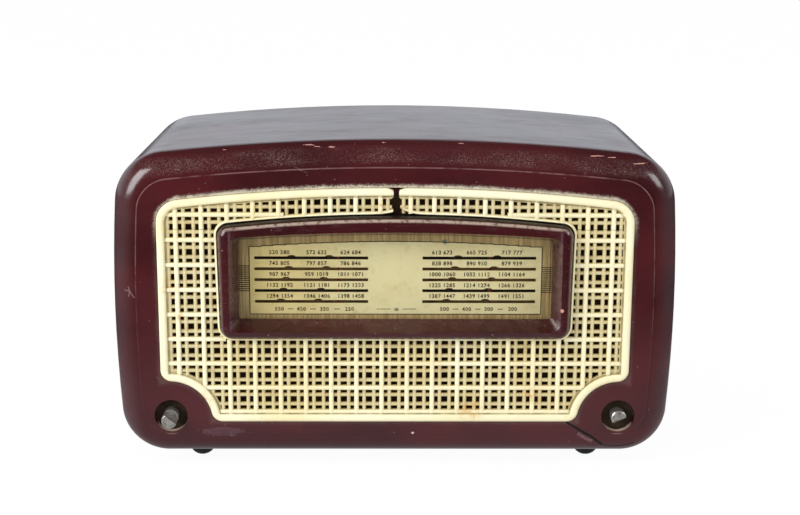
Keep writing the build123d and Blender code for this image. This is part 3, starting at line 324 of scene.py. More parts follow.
# %% Moulding
class Moulding(Paint):
    """Phenolic in a deep red brown, with the marks of use."""

    def __init__(self, name):
        super().__init__(name)
        self.base = self.shades(self.noise(38, 4, (1.4, 1, 0.8)), 0.3, 0.72, (56, 17, 21), (76, 25, 29))
        self.stain(self.cloud(1.6, 0.62, 0.8, 3) * 0.3, (94, 42, 44))
        wiped = self.cloud(24, 0.35, 0.75, 5, (2.2, 1, 0.8), 0.62)
        hazed = self.cloud(4.5, 0.45, 0.8, 4, (2.5, 1, 0.8))
        self.roughness = 0.15 + 0.10 * wiped + 0.07 * hazed
        self.height = 0.010 * self.noise(2.2, 2) + 0.03 * self.noise(14, 2)

    def stroke(self, points, half, soft):
        """A line through points given as x and z, on the front."""
        distances = []
        for (x, z), (next_x, next_z) in zip(points, points[1:]):
            run, climb = next_x - x, next_z - z
            inputs = {0: ((self.x - x) * run + (self.z - z) * climb) / (run * run + climb * climb)}
            along = self.node("Clamp", {}, inputs)
            distances.append(length(self.x - x - along * run, self.z - z - along * climb))
        return 1 - self.rise(reduce(Value.least, distances), half, half + soft)

    def blot(self, x, z, wide, high, ragged=0.5):
        """A ragged spot on the front or the crest above it."""
        far = length((self.x - x) / wide, (self.z - z) / high) + (self.edge_noise - 0.5) * ragged * 2
        return 1 - self.rise(far, 0.8, 1.05)

    def polish(self):
        fixed = {"IOR": 1.54, "Coat Roughness": 0.08, "Coat Weight": 0.12}
        return self.dress(self.roughness, self.height, fixed)

# %% [markdown]
# ### The cabinet
# The flat front is bounded by a fine moulded line, painted pale along the top and less so down the sides:
# partly rubbed wear, partly a painted highlight on its edge.
# How far a point lies inside the outline is worked out from the three arcs and the foot, with the
# corners rounded, and the line is where that distance is right. Dust lies along the crest, in the
# angle beside the grille and on the lower lip of the knob holes.

# %% Cabinet finish
moulded_line, corner = 9.8, 20.2
cabinet = Moulding("maroon_cabinet")
side_centre = cabinet_half - cabinet_side_radius
from_side = cabinet_side_radius - length(cabinet.x.size() - side_centre, cabinet.z - cabinet_side_middle)
from_top = cabinet_top_radius - length(cabinet.x, cabinet.z - (cabinet_high - cabinet_top_radius))
from_edge = from_top.least(cabinet.z - cabinet_low)
inside = corner - length((corner - from_side).most(0.0), (corner - from_edge).most(0.0))
on_front = 1 - cabinet.rise(cabinet.depth, 0.5, 1.4)
near_front = 1 - cabinet.rise(cabinet.depth, 13.0, 20.0)
cabinet.edge_noise = cabinet.noise(1.1, 4)

high_up = cabinet.rise(cabinet.z, 20.0, 118.0)
# The pale moulded line: partly rubbed wear, partly a painted highlight on its edge, brightest high up.
worn_and_lit_line = cabinet.band(inside, moulded_line, 0.06, 0.30) * on_front
cabinet.stain(worn_and_lit_line * (0.04 + 0.50 * high_up) * cabinet.cloud(7, 0.25, 0.6, 3), (158, 116, 116), 0.15)

# %% Dust, and a painted sheen, on the cabinet
def grille_rim(paint):
    """How far a point lies inside the grille's outline, with its hollows for the knobs."""
    side = grille_half - paint.x.size()
    top = grille_radius - length(paint.x, paint.z - (grille_high - grille_radius))
    rounded = 9.0 - length((9.0 - side).most(0.0), (9.0 - top).most(0.0))
    scoop = length(paint.x.size() - knob_x, paint.z - grille_low) - scoop_radius
    return rounded.least(paint.z - grille_low).least(scoop)


crest = cabinet.band(from_top, 5.2, 1.6, 2.6) * (1 - cabinet.rise(cabinet.depth, 5.5, 8.0))
speckled = cabinet.cloud(0.36, 0.46, 0.74, 3, (1.4, 1, 1), 0.75)
streaked = 0.25 + 0.75 * cabinet.cloud(12, 0.38, 0.66, 4, (1.6, 1, 0.5))
cabinet.stain(crest * speckled * streaked * 0.55, (168, 146, 140), 0.2)
cabinet.stain(cabinet.specks(2.6, 0.26, 0.16) * near_front * 0.3, (196, 186, 170), 0.2)
# A bluish grey haze on the rounded sides: partly dust, partly a painted reflection of the pale studio.
side_sheen_and_dust = (1 - cabinet.rise(from_side, 2.0, 10.0)) * (0.05 + 0.08 * cabinet.noise(14, 4))
cabinet.stain(side_sheen_and_dust, (136, 140, 144), 0.1)

beside = cabinet.rise(grille_rim(cabinet), -3.4, 0.2) * on_front
upper = cabinet.rise(cabinet.z, 92.0, 112.0)
powder = cabinet.noise(0.7, 4, (1, 1, 1), 0.75) * 0.7 + 0.3 * cabinet.noise(5, 3)
soft_edge = cabinet.rise(powder + 0.42 * beside, 0.62, 0.95)
cabinet.stain(beside * soft_edge * (0.05 + 0.82 * upper), (226, 218, 194), 0.25)

knob_distance = length(cabinet.x.size() - knob_x, cabinet.z - knob_z)
lower_lip = cabinet.band(knob_distance, knob_hole_radius, 0.7, 0.7)
lower_lip = lower_lip * (1 - cabinet.rise(cabinet.z - knob_z, -4.6, -2.6))
cabinet.stain(lower_lip * cabinet.rise(cabinet.depth, 0.0, 0.8) * 0.95, (196, 172, 152), 0.35)

# %% [markdown]
# ### Knocks and scratches
# A fall cracked the lower right corner from the grille to the foot. The crack is a dark line that the
# bump opens up, with a pale rub beside it. Chips in the crest show the lighter, pinker filler under the
# skin, and a star of scratches and a smudge lie on the left.

# %% Cabinet marks
crack_points = [(67.2, 21.5), (69.7, 19.6), (75.8, 15.9), (78.7, 14.2), (83.2, 10.4)]
wide_crack = cabinet.stroke(crack_points, 0.30, 0.25)
fine_crack = cabinet.stroke([(83.2, 10.4), (86.9, 9.4), (92.1, 9.9), (96.0, 11.0)], 0.12, 0.22)
rub = cabinet.stroke([(73.5, 15.4), (76.0, 13.6), (78.8, 12.1)], 0.35, 0.7) * near_front
cabinet.stain(rub * cabinet.rise(cabinet.edge_noise, 0.3, 0.6), (116, 84, 84), 0.2)
cabinet.stain(wide_crack.most(fine_crack) * near_front, (10, 4, 5), 0.75, -0.5)

chips = strongest(cabinet.blot(x, z, wide, high, 1.3) for x, z, wide, high in [
    (-33.4, 131.0, 2.2, 0.17), (-30.2, 130.5, 1.1, 0.15), (-24.6, 130.4, 1.2, 0.22),
    (-4.5, 131.9, 1.0, 0.12), (25.0, 131.6, 1.2, 0.13), (77.6, 127.2, 2.2, 0.20),
    (83.5, 126.6, 1.6, 0.18), (94.0, 124.4, 3.0, 0.20), (-66.0, 129.0, 0.9, 0.12)])
chips = chips * (1 - cabinet.rise(cabinet.depth, 14.0, 22.0))
cabinet.stain(chips * 0.85, (206, 152, 138), 0.25, -0.08)
cabinet.stain(cabinet.blot(7.1, 15.8, 0.6, 0.5) * on_front, (214, 190, 176), 0.2)

scratches = cabinet.stroke([(-105.6, 74.3), (-103.6, 73.8), (-102.0, 71.4)], 0.04, 0.28)
scratches = scratches.most(cabinet.stroke([(-104.2, 75.6), (-103.6, 73.8), (-104.2, 71.9)], 0.04, 0.26))
scratches = scratches.most(cabinet.stroke([(-39.0, 123.4), (-34.0, 121.0)], 0.02, 0.2) * 0.5)
cabinet.stain(scratches * near_front * 0.42, (170, 140, 142), 0.2, -0.03)
smudge = cabinet.blot(-68.0, 16.4, 9.0, 2.0, 0.8) * on_front
cabinet.stain(smudge * cabinet.noise(3, 4) * 0.35, (122, 104, 116), 0.15)
# Painted shade darkens the walls inside the openings, behind the front.
shaded_inner_wall = cabinet.rise(cabinet.depth, 3.4, 4.2) * cabinet.rise(inside, 2.2, 2.9)
cabinet.stain(shaded_inner_wall * 0.45, (58, 34, 32), 0.3)
give(cabinet.polish(), "cabinet")

# %% [markdown]
# ### The dial's frame
# The frame round the dial is the same moulding with a higher polish, handled more, so it carries fine scuffs
# along its crown and a bright line of dust on its upper edge. Painted shade darkens it in the gap above that
# and on the ledge at the foot of the window, and painted highlights lighten the window's inner slopes and,
# with some dust, its outer sides.

# %% Dial frame finish
bezel = Moulding("maroon_bezel")
bezel.edge_noise = bezel.noise(0.8, 4)
bezel.stain(0.35, (44, 8, 9))
crown = 1 - bezel.rise(bezel.depth, -4.9, -3.6)
bezel.stain(crown * bezel.cloud(2.4, 0.56, 0.74, 5, (3.0, 1, 0.6), 0.7) * 0.10, (168, 140, 146), 0.15)
bezel.stain(bezel.specks(1.9, 0.3, 0.14) * 0.55, (190, 168, 160), 0.2)
foot_dust = bezel.rise(bezel.depth, -2.2, -0.2) * bezel.cloud(3, 0.3, 0.65, 3)
bezel.stain(foot_dust * 0.08, (150, 118, 116), 0.2)
bezel.stain(bezel.blot(64.7, 67.6, 0.9, 0.7) * crown, (214, 150, 140), 0.2)
aside = bezel.x.size()
# A painted highlight on the inner slopes of the window.
slope = bezel.band(aside, 63.9, 0.25, 0.5) * bezel.band(bezel.z, 79.0, 18.5, 2.0)
bezel.stain(slope * 0.22, (140, 104, 120), 0.12)
# Painted shade on the ledge at the foot of the window's slopes.
ledge_shade = bezel.band(aside, 62.4, 0.6, 0.4) * bezel.band(bezel.z, 79.0, 17.5, 2.0)
bezel.stain(ledge_shade * 0.2, (84, 62, 64), 0.15)
# The outer sides lightened: partly dust, partly a painted highlight.
outer_sheen_and_dust = bezel.rise(aside, 66.4, 67.4) * bezel.rise(bezel.depth, -4.7, -4.0)
bezel.stain(outer_sheen_and_dust * 0.22, (140, 116, 118), 0.15)
# Painted shade on the upper flank, in the gap under the grille's lip.
above = bezel.rise(bezel.z, 98.0, 100.5)
bezel.stain(above * bezel.rise(bezel.depth, -3.9, -3.0), (22, 9, 10), 0.2)
above = above * bezel.band(bezel.depth, -4.25, 0.2, 0.35)
bezel.stain(above * bezel.cloud(1.6, 0.2, 0.55, 4) * 0.62, (206, 186, 168), 0.25)
give(bezel.polish(), "dial_bezel")

# %% [markdown]
# ## The cream grille
# The grille is one moulding: a rounded border, a lip round the dial, and a plaid of wide and narrow bars
# that were never meant to be one plane. The CAD solid has square bars, so it is modelled anew here.
# One bar of each kind is a cube with its front edges bevelled, copied and stretched to each place.
# A bar's ends are found by walking along it until it runs under the border or the lip.

# %% Small helpers for modelling
def place_of(x, depth, z):
    return Vector((x, front_y + depth, z)) * MM


def clear_selection():
    if bpy.context.mode != "OBJECT":
        bpy.ops.object.mode_set(mode="OBJECT")
    bpy.ops.object.select_all(action="DESELECT")


def rename(name):
    piece = bpy.context.object
    piece.name = piece.data.name = name
    return piece


def settle(piece):
    """Brings a piece to the origin, with its place in its mesh."""
    clear_selection()
    piece.select_set(True)
    bpy.context.view_layer.objects.active = piece
    bpy.ops.object.transform_apply(location=True, rotation=True, scale=True)


def edit(piece):
    """Opens a piece's mesh, as the Tab key does."""
    clear_selection()
    piece.select_set(True)
    bpy.context.view_layer.objects.active = piece
    bpy.ops.object.mode_set(mode="EDIT")
    bpy.ops.mesh.select_all(action="SELECT")


def turn_faces_out():
    """Points every face of the open mesh outwards, and closes it."""
    bpy.ops.mesh.select_all(action="SELECT")
    bpy.ops.mesh.normals_make_consistent(inside=False)
    bpy.ops.object.mode_set(mode="OBJECT")


def choose(piece, kind, wanted):
    """In an open mesh, selects the faces or edges whose middle, in millimetres, passes the test."""
    shell = bmesh.from_edit_mesh(piece.data)
    bpy.ops.mesh.select_all(action="DESELECT")
    bpy.context.tool_settings.mesh_select_mode = (False, kind == "edges", kind == "faces")
    for item in getattr(shell, kind):
        middle = sum((corner.co for corner in item.verts), Vector()) / len(item.verts)
        if wanted(middle / MM, item):
            item.select_set(True)
    bmesh.update_edit_mesh(piece.data)


def unite(name, pieces):
    """Joins finished pieces into one."""
    clear_selection()
    for piece in pieces:
        piece.select_set(True)
    bpy.context.view_layer.objects.active = pieces[0]
    bpy.ops.object.join()
    return rename(name)

# %% [markdown]
# ### Where the grille may go
# Two distances say where a bar is wanted: how far a point lies inside the grille's outline, with its
# hollows for the knobs, and how far it lies outside the opening for the dial. The grille has broken
# through above the dial, and no bar crosses the break.

# %% Distances on the front
dial_gap, dial_corner = 0.4, 4.9
above_dial = 99.0
stub_left, stub_right = -1.4, 1.7


def edge_distance(x, z):
    side = grille_half - abs(x)
    top = grille_radius - math.hypot(x, z - (grille_high - grille_radius))
    rounded = 9.0 - math.hypot(max(9.0 - side, 0), max(9.0 - top, 0))
    return min(rounded, z - grille_low, math.hypot(abs(x) - knob_x, z - grille_low) - scoop_radius)


def dial_distance(x, z):
    slope = (bezel_half - bezel_foot_half) / (bezel_high - bezel_arch - bezel_low)
    side = abs(x) - (bezel_foot_half + slope * (z - bezel_low) + dial_gap)
    top = math.hypot(x, z - (bezel_high - bezel_radius)) - bezel_radius - dial_gap
    ends = max(top, bezel_low - dial_gap - z)
    outside = math.hypot(max(side + dial_corner, 0), max(ends + dial_corner, 0)) - dial_corner
    return outside + min(max(side, ends) + dial_corner, 0)


def allowed(x, z):
    whole = z < above_dial or x < stub_left or x > stub_right
    return whole and edge_distance(x, z) > 1.1 and dial_distance(x, z) > 0.35


def spans(point_at, half, low, high, step=0.25):
    """Stretches along a bar where both its edges are allowed."""
    found, start = [], None
    count = round((high - low) / step)
    for index in range(count + 1):
        along = low + index * step
        clear = all(allowed(*point_at(along, offset)) for offset in (-half, half))
        if clear and start is None:
            start = along
        if start is not None and (not clear or index == count):
            if along - step - start > 1.2:
                found.append((start, along - step))
            start = None
    return found

# %% Bars
bar_pitch, bar_back = 9.97, 1.8
gap_row, gap_column = 79.6, -0.35
narrow_offset = 1.925
quarter = math.pi / 2


def model_bar(name, width, near):
    """A bar one millimetre long and upright, its two front edges rounded."""
    clear_selection()
    thick = bar_back - near
    bpy.ops.mesh.primitive_cube_add(size=1, scale=(width * MM, thick * MM, MM),
                                    location=(0, (near + thick / 2) * MM, 0))
    bar = rename(name)
    settle(bar)
    edit(bar)
    choose(bar, "edges", lambda middle, edge: middle.y < near + 0.01 and abs(middle.z) < 0.01)
    bpy.ops.mesh.bevel(offset=width * 0.34 * MM, segments=3, profile=0.5, affect="EDGES")
    bpy.ops.object.mode_set(mode="OBJECT")
    return bar


def lay_bar(bar, turn, across, low, high):
    """A copy of a bar, stretched between two places, upright or level."""
    copy = bar.copy()
    copy.data = bar.data.copy()
    bpy.context.collection.objects.link(copy)
    middle = (low + high) / 2
    place = place_of(middle, 0, across) if turn else place_of(across, 0, middle)
    stretch = Matrix.Diagonal((1, 1, high - low, 1))
    copy.data.transform(Matrix.Translation(place) @ Matrix.Rotation(turn, 4, "Y") @ stretch)
    return copy


def pulled(x):
    """The halves of the grille have drawn apart above the dial, most of all beside the break."""
    return x + (-0.9 if x < 0 else 1.7) * max(0.0, 1 - abs(x) / 25.0) ** 2


def places(turn, across):
    """Where the bar in this row or column runs: its place, and the two ends of each piece."""
    half = width / 2
    if turn:
        level = spans(lambda along, side: (along, across + side), half, -grille_half, grille_half)
        return [(across, low, high) for low, high in level]
    found = []
    for place, start, end in ((across, grille_low, above_dial), (pulled(across), above_dial, grille_high)):
        upright = spans(lambda along, side: (place + side, along), half, start, end)
        found += [(place, low, high) for low, high in upright]
    return found


bars = []
narrow = (-narrow_offset, narrow_offset)
for name, width, near, turn, offsets in [
        ("wide_upright", 1.8, -0.6, 0.0, (5.0,)), ("wide_level", 1.8, -0.5, quarter, (5.0,)),
        ("narrow_upright", 1.4, 0.2, 0.0, narrow), ("narrow_level", 1.4, 0.3, quarter, narrow)]:
    bar = model_bar(name, width, near)
    for row in range(-11, 11):
        for offset in offsets:
            across = (gap_row if turn else gap_column) + row * bar_pitch + offset
            bars += [lay_bar(bar, turn, *ends) for ends in places(turn, across)]
    bpy.data.objects.remove(bar)
print(len(bars), "bars")

# %% [markdown]
# ### Border and lip
# The border is drawn as a flat outline, raised, and rounded over with a row of insets. The inner edge is
# then sunk to the back, the middle removed and the two back rims bridged, which leaves a closed ring.
# The lip round the dial is made the same way.

# %% Outline points
def arc_points(x, z, radius, start, end, steps):
    """Points on an arc about (x, z), from one angle to another, in degrees."""
    angles = [math.radians(start + (end - start) * step / steps) for step in range(steps + 1)]
    return [(x + radius * math.cos(angle), z + radius * math.sin(angle)) for angle in angles]


def both_sides(right):
    """The right half of an outline, from the foot up, closed by its mirror image."""
    return right + [(-x, z) for x, z in reversed(right) if abs(x) > 0.001]


def corner_and_top(half, high, radius, arch_radius, side_steps):
    """The rounded top corner on the right, then the arch to the middle."""
    across = half - radius
    centre_z = high - arch_radius + math.sqrt((arch_radius - radius) ** 2 - across ** 2)
    lean = math.degrees(math.atan2(centre_z - (high - arch_radius), across))
    points = arc_points(across, centre_z, radius, 0, lean, 10)
    return points + arc_points(0, high - arch_radius, arch_radius, lean, 90, side_steps)[1:]


def grille_points():
    reach = scoop_radius + scoop_corner
    first_x = knob_x - math.sqrt(reach ** 2 - scoop_corner ** 2)
    second_x = grille_half - scoop_corner
    second_z = grille_low + math.sqrt(reach ** 2 - (knob_x - second_x) ** 2)
    first_lean = math.degrees(math.atan2(scoop_corner, knob_x - first_x))
    second_lean = math.degrees(math.atan2(knob_x - second_x, second_z - grille_low))
    right = [(x, grille_low) for x in (0.0, 22.0, 44.0, 62.0)]
    right += arc_points(first_x, grille_low + scoop_corner, scoop_corner, -90, -first_lean, 9)
    right += arc_points(knob_x, grille_low, scoop_radius, 180 - first_lean, 90 + second_lean, 14)[1:-1]
    right += arc_points(second_x, second_z, scoop_corner, second_lean - 90, 0, 9)
    right += [(grille_half, z) for z in (60.0, 80.0)]
    return both_sides(right + corner_and_top(grille_half, grille_high, 9.0, grille_radius, 26))


def dial_points(grow):
    """The frame's outline, larger all round, with its sides leaning out a little."""
    lean = (bezel_half - bezel_foot_half) / (bezel_high - bezel_arch - bezel_low)
    radius = 4.5 + grow
    foot = bezel_foot_half + grow - radius
    right = [(0.0, bezel_low - grow), (30.0, bezel_low - grow)]
    right += arc_points(foot, bezel_low - grow + radius, radius, -90, 0, 10)
    right += corner_and_top(bezel_foot_half + grow, bezel_high + grow, radius, bezel_radius + grow, 22)
    return both_sides([(x + max(x - 30.0, 0) / (foot - 30.0) * lean * (z - bezel_low), z) for x, z in right])


# %% Rings
def flat_outline(name, points, depth):
    """A filled outline, as a circle whose points are moved."""
    clear_selection()
    bpy.ops.mesh.primitive_circle_add(vertices=len(points), radius=0.1, fill_type="NGON")
    piece = rename(name)
    for vertex, (x, z) in zip(piece.data.vertices, points):
        vertex.co = place_of(x, depth, z)
    edit(piece)
    return piece


def push(depth):
    """Extrudes what is chosen, this far back."""
    bpy.ops.mesh.extrude_region_move(TRANSFORM_OT_translate={"value": (0, depth * MM, 0)})


def ring(name, points, profile, back):
    """A closed border. The profile is a list of steps: how far in, and how far towards the front."""
    border = flat_outline(name, points, back)
    bpy.ops.mesh.normals_make_consistent(inside=False)
    if bmesh.from_edit_mesh(border.data).faces[0].normal.y > 0:
        bpy.ops.mesh.flip_normals()
    level = profile[0][1]
    push(-(back + level))
    for inward, forward in profile[1:]:
        bpy.ops.mesh.inset(thickness=inward * MM, depth=0, use_even_offset=True)
        bpy.ops.transform.translate(value=(0, -forward * MM, 0))
        level += forward
    push(back + level)
    choose(border, "faces", lambda middle, face: len(face.verts) == len(points))
    bpy.ops.mesh.delete(type="FACE")
    choose(border, "edges", lambda middle, edge: edge.is_boundary)
    bpy.ops.mesh.bridge_edge_loops()
    turn_faces_out()
    print(name, len(border.data.polygons), "faces")
    return border


border_profile = [(0, 0.35), (0.18, 0.36), (0.32, 0.32), (0.45, 0.18), (0.55, 0.06), (0.6, -0.02),
                  (0.42, -0.12), (0.30, -0.26), (0.20, -0.36), (0.10, -0.41), (0.05, -0.45), (0.80, -0.05)]
border = ring("border", grille_points(), border_profile, bar_back)
lip_profile = [(0, -0.5), (0.14, 0.45), (0.20, 0.40), (0.26, 0.22), (0.26, 0.05), (0.20, -0.25)]
lip = ring("lip", dial_points(dial_gap + 1.1), lip_profile, bar_back)

# %% [markdown]
# ### The break
# Above the dial the border and the lip have snapped. The halves of the border stand two millimetres apart,
# and those of the lip nearly four. Each ring is cut by planes, the stretch between the ends is removed,
# and the open ends are filled, softened and bent.

# %% Break
border_ends, lip_ends = (-0.8, 1.3), (-1.0, 2.8)


def break_open(border, left, right):
    edit(border)
    for end, side in ((left, -1), (right, 1)):
        for step in (0.0, 0.8, 1.8, 3.0, 5.0):
            choose(border, "faces", lambda middle, face: middle.z > above_dial)
            bpy.ops.mesh.bisect(plane_co=((end + side * step) * MM, 0, 0), plane_no=(1, 0, 0))
    choose(border, "faces", lambda middle, face: middle.z > above_dial and left < middle.x < right)
    bpy.ops.mesh.delete(type="FACE")
    for side in (-1, 1):
        choose(border, "edges", lambda middle, edge: edge.is_boundary and middle.x * side > 0)
        bpy.ops.mesh.edge_face_add()
    choose(border, "faces", lambda middle, face: len(face.verts) > 8 and abs(middle.x) < 3.0)
    bpy.ops.mesh.region_to_loop()
    bpy.ops.mesh.bevel(offset=0.35 * MM, segments=2, affect="EDGES")
    bpy.ops.object.mode_set(mode="OBJECT")


def curl(border, end, reach, rise, low):
    """Bends one broken end up or down, most at its tip."""
    side = 1 if end > 0 else -1
    for vertex in border.data.vertices:
        beyond = 1 - (vertex.co.x * side / MM - abs(end)) / reach
        if vertex.co.x * side > 0 and beyond > 0 and vertex.co.z / MM > low:
            vertex.co.z += rise * beyond ** 2 * min(1.0, vertex.co.z / MM - low) * MM


break_open(border, *border_ends)
break_open(lip, *lip_ends)
for end in border_ends:
    curl(border, end, 3.2, -1.1, 113.0)
curl(lip, lip_ends[0], 7.0, 0.9, above_dial)
curl(lip, lip_ends[1], 8.0, 1.7, above_dial)

# %% Studs and the joined grille
def add_stud(x, z):
    """A pin on the back of the grille, with a step at its end."""
    clear_selection()
    bpy.ops.mesh.primitive_cylinder_add(vertices=20, radius=1.0 * MM, depth=4.2 * MM,
                                        location=place_of(x, bar_back + 1.5, z), rotation=(quarter, 0, 0))
    stud = rename("stud")
    settle(stud)
    edit(stud)
    choose(stud, "faces", lambda middle, face: len(face.verts) > 8 and middle.y - front_y > bar_back + 2)
    bpy.ops.mesh.inset(thickness=0.25 * MM, depth=0.2 * MM)
    bpy.ops.object.mode_set(mode="OBJECT")
    return stud


studs = [add_stud(side * x, z) for x, z in ((90.9, 46.0), (90.9, 90.0), (45.0, 22.4)) for side in (-1, 1)]
grille = unite("cream_grille", [border, lip, *bars, *studs])
clear_selection()
grille.select_set(True)
bpy.ops.object.shade_smooth_by_angle(angle=math.radians(38))
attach(grille, "radio_body")
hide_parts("grille")
print("grille", len(grille.data.polygons), "faces")

# %% [markdown]
# ### Aged cream
# The moulding was ivory and has yellowed. It is palest on the border and the tops of the wide bars, and
# greener and browner in the recesses, where painted shade darkens it by depth, with blotches of grime. A
# painted shadow runs along the inner foot of the border. Nicotine and damp left a few rusty patches.

# %% Grille finish
cream = Paint("aged_cream")
sunk_shade = cream.rise(cream.depth, -0.75, 0.9)
blotch_noise = cream.noise(5, 4)
cream.base = cream.shades(cream.noise(30, 4), 0.35, 0.7, (246, 240, 206), (240, 228, 182))
# Painted shade: the deeper a point lies, the greener and darker.
cream.stain(sunk_shade * 0.9, (184, 164, 104))
# A painted shadow along the inner foot of the border, where its side shades the bars.
border_foot_shadow = cream.band(grille_rim(cream), 3.35, 0.15, 0.35) * (0.35 + 0.65 * cream.rise(blotch_noise, 0.3, 0.7))
cream.stain(border_foot_shadow * 0.75, (128, 112, 56))
# Blotchy brown in the recesses: grime, deepened by painted shade.
cream.stain(sunk_shade * cream.rise(blotch_noise, 0.5, 0.72) * 0.6, (156, 126, 70))
rusty = strongest(1 - cream.rise(length(cream.x - x, cream.z - z), size * 0.2, size) for x, z, size in [
    (-88.0, 76.0, 5.0), (-84.6, 64.0, 3.0), (-90.0, 35.0, 5.0), (55.0, 31.0, 6.0),
    (3.5, 108.0, 5.0), (-5.0, 108.0, 4.0), (-76.0, 30.0, 6.0), (30.0, 26.0, 7.0)])
cream.stain(rusty * cream.cloud(2.2, 0.40, 0.66, 4) * 0.7, (206, 160, 84))
cream.stain(cream.specks(3.1, 0.30, 0.10) * 0.6, (150, 118, 76))
dull = 0.30 + 0.22 * cream.rise(blotch_noise, 0.4, 0.7) + 0.2 * sunk_shade
relief = 0.02 * cream.noise(1.8, 3) + 0.05 * cream.noise(9, 2)
give(cream.dress(dull, relief, {"IOR": 1.50, "Subsurface Weight": 0.0}), "cream_grille")

# %% [markdown]
# ## The speaker cloth
# A plain brown weave is stretched over the board behind the grille, with a window for the dial. It is a
# grid with fine squares, so the cloth can sink a little between the places where it is held, and the
# threads are in its bump: two sets of waves at right angles, each on top where the other dips.

# %% Cloth
cloth_half, cloth_low, cloth_high, cloth_depth = 96.5, 16.8, 119.2, 3.65
window_half, window_low, window_high = 65.0, 58.3, 99.2
clear_selection()
bpy.ops.mesh.primitive_grid_add(
    x_subdivisions=100, y_subdivisions=54, size=1, rotation=(quarter, 0, 0),
    location=place_of(0, cloth_depth, (cloth_low + cloth_high) / 2))
cloth = rename("speaker_cloth_sheet")
cloth.scale = (cloth_half * 2 * MM, (cloth_high - cloth_low) * MM, 1)
settle(cloth)
edit(cloth)
for plane, normal in [((-window_half, 0, 0), (1, 0, 0)), ((window_half, 0, 0), (1, 0, 0)),
                      ((0, 0, window_low), (0, 0, 1)), ((0, 0, window_high), (0, 0, 1))]:
    bpy.ops.mesh.select_all(action="SELECT")
    bpy.ops.mesh.bisect(plane_co=Vector(plane) * MM, plane_no=normal)
choose(cloth, "faces", lambda middle, face: abs(middle.x) < window_half
       and window_low < middle.z < window_high)
bpy.ops.mesh.delete(type="FACE")
bpy.ops.object.mode_set(mode="OBJECT")

# %% Cloth slack
def slack(x, z):
    """A pull in the cloth: gentle hollows, and none at its edges, in millimetres."""
    hold = min(1.0, (cloth_half - abs(x)) / 12, (z - cloth_low) / 12, (cloth_high - z) / 12)
    return hold * 0.10 * (math.sin(x * 0.21 + 0.6 * math.sin(z * 0.17)) + math.sin(z * 0.26 + x * 0.03))


for vertex in cloth.data.vertices:
    x, z = vertex.co.x / MM, vertex.co.z / MM
    vertex.co.y += slack(x, z) * MM
clear_selection()
cloth.select_set(True)
bpy.ops.object.shade_smooth()
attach(cloth, "radio_body")
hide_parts("speaker_cloth")

# %% Cloth finish
weave = Paint("brown_weave")
thread = 0.62
warp = (weave.x * (math.tau / thread)).wave()
weft = (weave.z * (math.tau / thread)).wave()
over = (weave.x * (math.pi / thread)).wave() * (weave.z * (math.pi / thread)).wave()
crossing = weave.rise(over, -0.25, 0.25)
strand = crossing * warp + (1 - crossing) * weft
faded = weave.noise(26, 3)
weave.base = weave.shades(faded, 0.35, 0.7, (62, 46, 26), (84, 64, 38))
weave.stain(weave.cloud(1.6, 0.55, 0.8, 3, (0.3, 1, 6.0)) * 0.5, (116, 94, 60))
between = weave.mix(0.6, weave.base, (10, 8, 6))
weave.base = weave.mix(weave.rise(strand, -1.0, 1.0) * 0.55, between, weave.base)
soft = {"Sheen Weight": 0.25, "Specular IOR Level": 0.2}
give(weave.dress(0.85 + 0.08 * faded, 0.06 * strand, soft), "speaker_cloth_sheet")

# %% [markdown]
# ## The dial
# Behind the glass lies a card with a pale panel inside a thin frame line; outside the line it is a darker
# tan, which stands partly for the card's colour and partly for painted shade cast by the frame. Long slots
# are cut in it for the pointers, and rows of small figures stand above them, with a row of larger ones
# below. The real figures are half worn away. They are plain numbers here, raised by a hair so that they are
# real pieces. The card's colours are painted by place.

# %% Card finish
frame_left, frame_right, frame_foot = -57.4, 57.7, 63.2
frame_shoulder, frame_rise, frame_reach = 90.4, 2.3, 57.5
card = Paint("dial_card")
line_top = frame_shoulder + frame_rise * (1 - (card.x * card.x) / (frame_reach * frame_reach))
panel = card.rise(card.x, frame_left, frame_left + 0.3)
panel = panel * (1 - card.rise(card.x, frame_right - 0.3, frame_right))
panel = panel * card.rise(card.z, frame_foot, frame_foot + 0.3) * card.rise(line_top - card.z, 0.0, 0.3)
gold = card.shades(card.x, -58.0, -8.0, (246, 226, 160), (246, 234, 186))
gold = card.mix(card.band(card.x, 0.4, 10.0, 4.0) * 0.75, gold, (246, 236, 190))
gold = card.mix(card.cloud(22, 0.45, 0.75, 4) * 0.4, gold, (212, 188, 126))
# Outside the frame line the card is a darker tan: partly its colour, partly painted shade from the frame.
card.base = card.mix(card.cloud(1.2, 0.35, 0.7, 3, (0.6, 1, 14.0)), (176, 146, 96), (216, 190, 134))
card.stain(panel, gold)
mottle = card.cloud(2.6, 0.52, 0.78, 5)
card.stain(mottle * 0.25, (178, 150, 94))
flake = length(card.x + 42.1, (card.z - 71.0) * 1.6) + 2.6 * (card.noise(0.9, 4) - 0.5)
card.stain(1 - card.rise(flake, 0.5, 0.9), (246, 240, 214))
teal = length(card.x - 19.3, card.z - 92.6) + 2.0 * (card.noise(0.8, 3) - 0.5)
card.stain((1 - card.rise(teal, 0.5, 1.3)) * 0.75, (52, 116, 116))
near_foot = 1 - card.rise(length((card.x + 2.0) / 8.0, card.z - 62.0), 0.6, 1.6)
card.stain(card.specks(2.0, 0.32, 0.25) * near_foot, (168, 62, 40))
give(card.dress(0.55 + 0.2 * mottle, 0.02 * card.noise(0.8, 3)), "dial_scale")

# %% [markdown]
# ### Print on the card
# Every mark is a thin solid just in front of the card. A text object gives the figures, and is turned
# into a mesh, and lines and hatching are small bars made from one. Parts of the ink have worn off,
# which the ink's Alpha does with noise.

# %% Print
print_depth = 6.52
print_pieces = []


def keep(name):
    """Settles a printed piece and counts it in."""
    piece = rename(name)
    settle(piece)
    print_pieces.append(piece)
    return piece


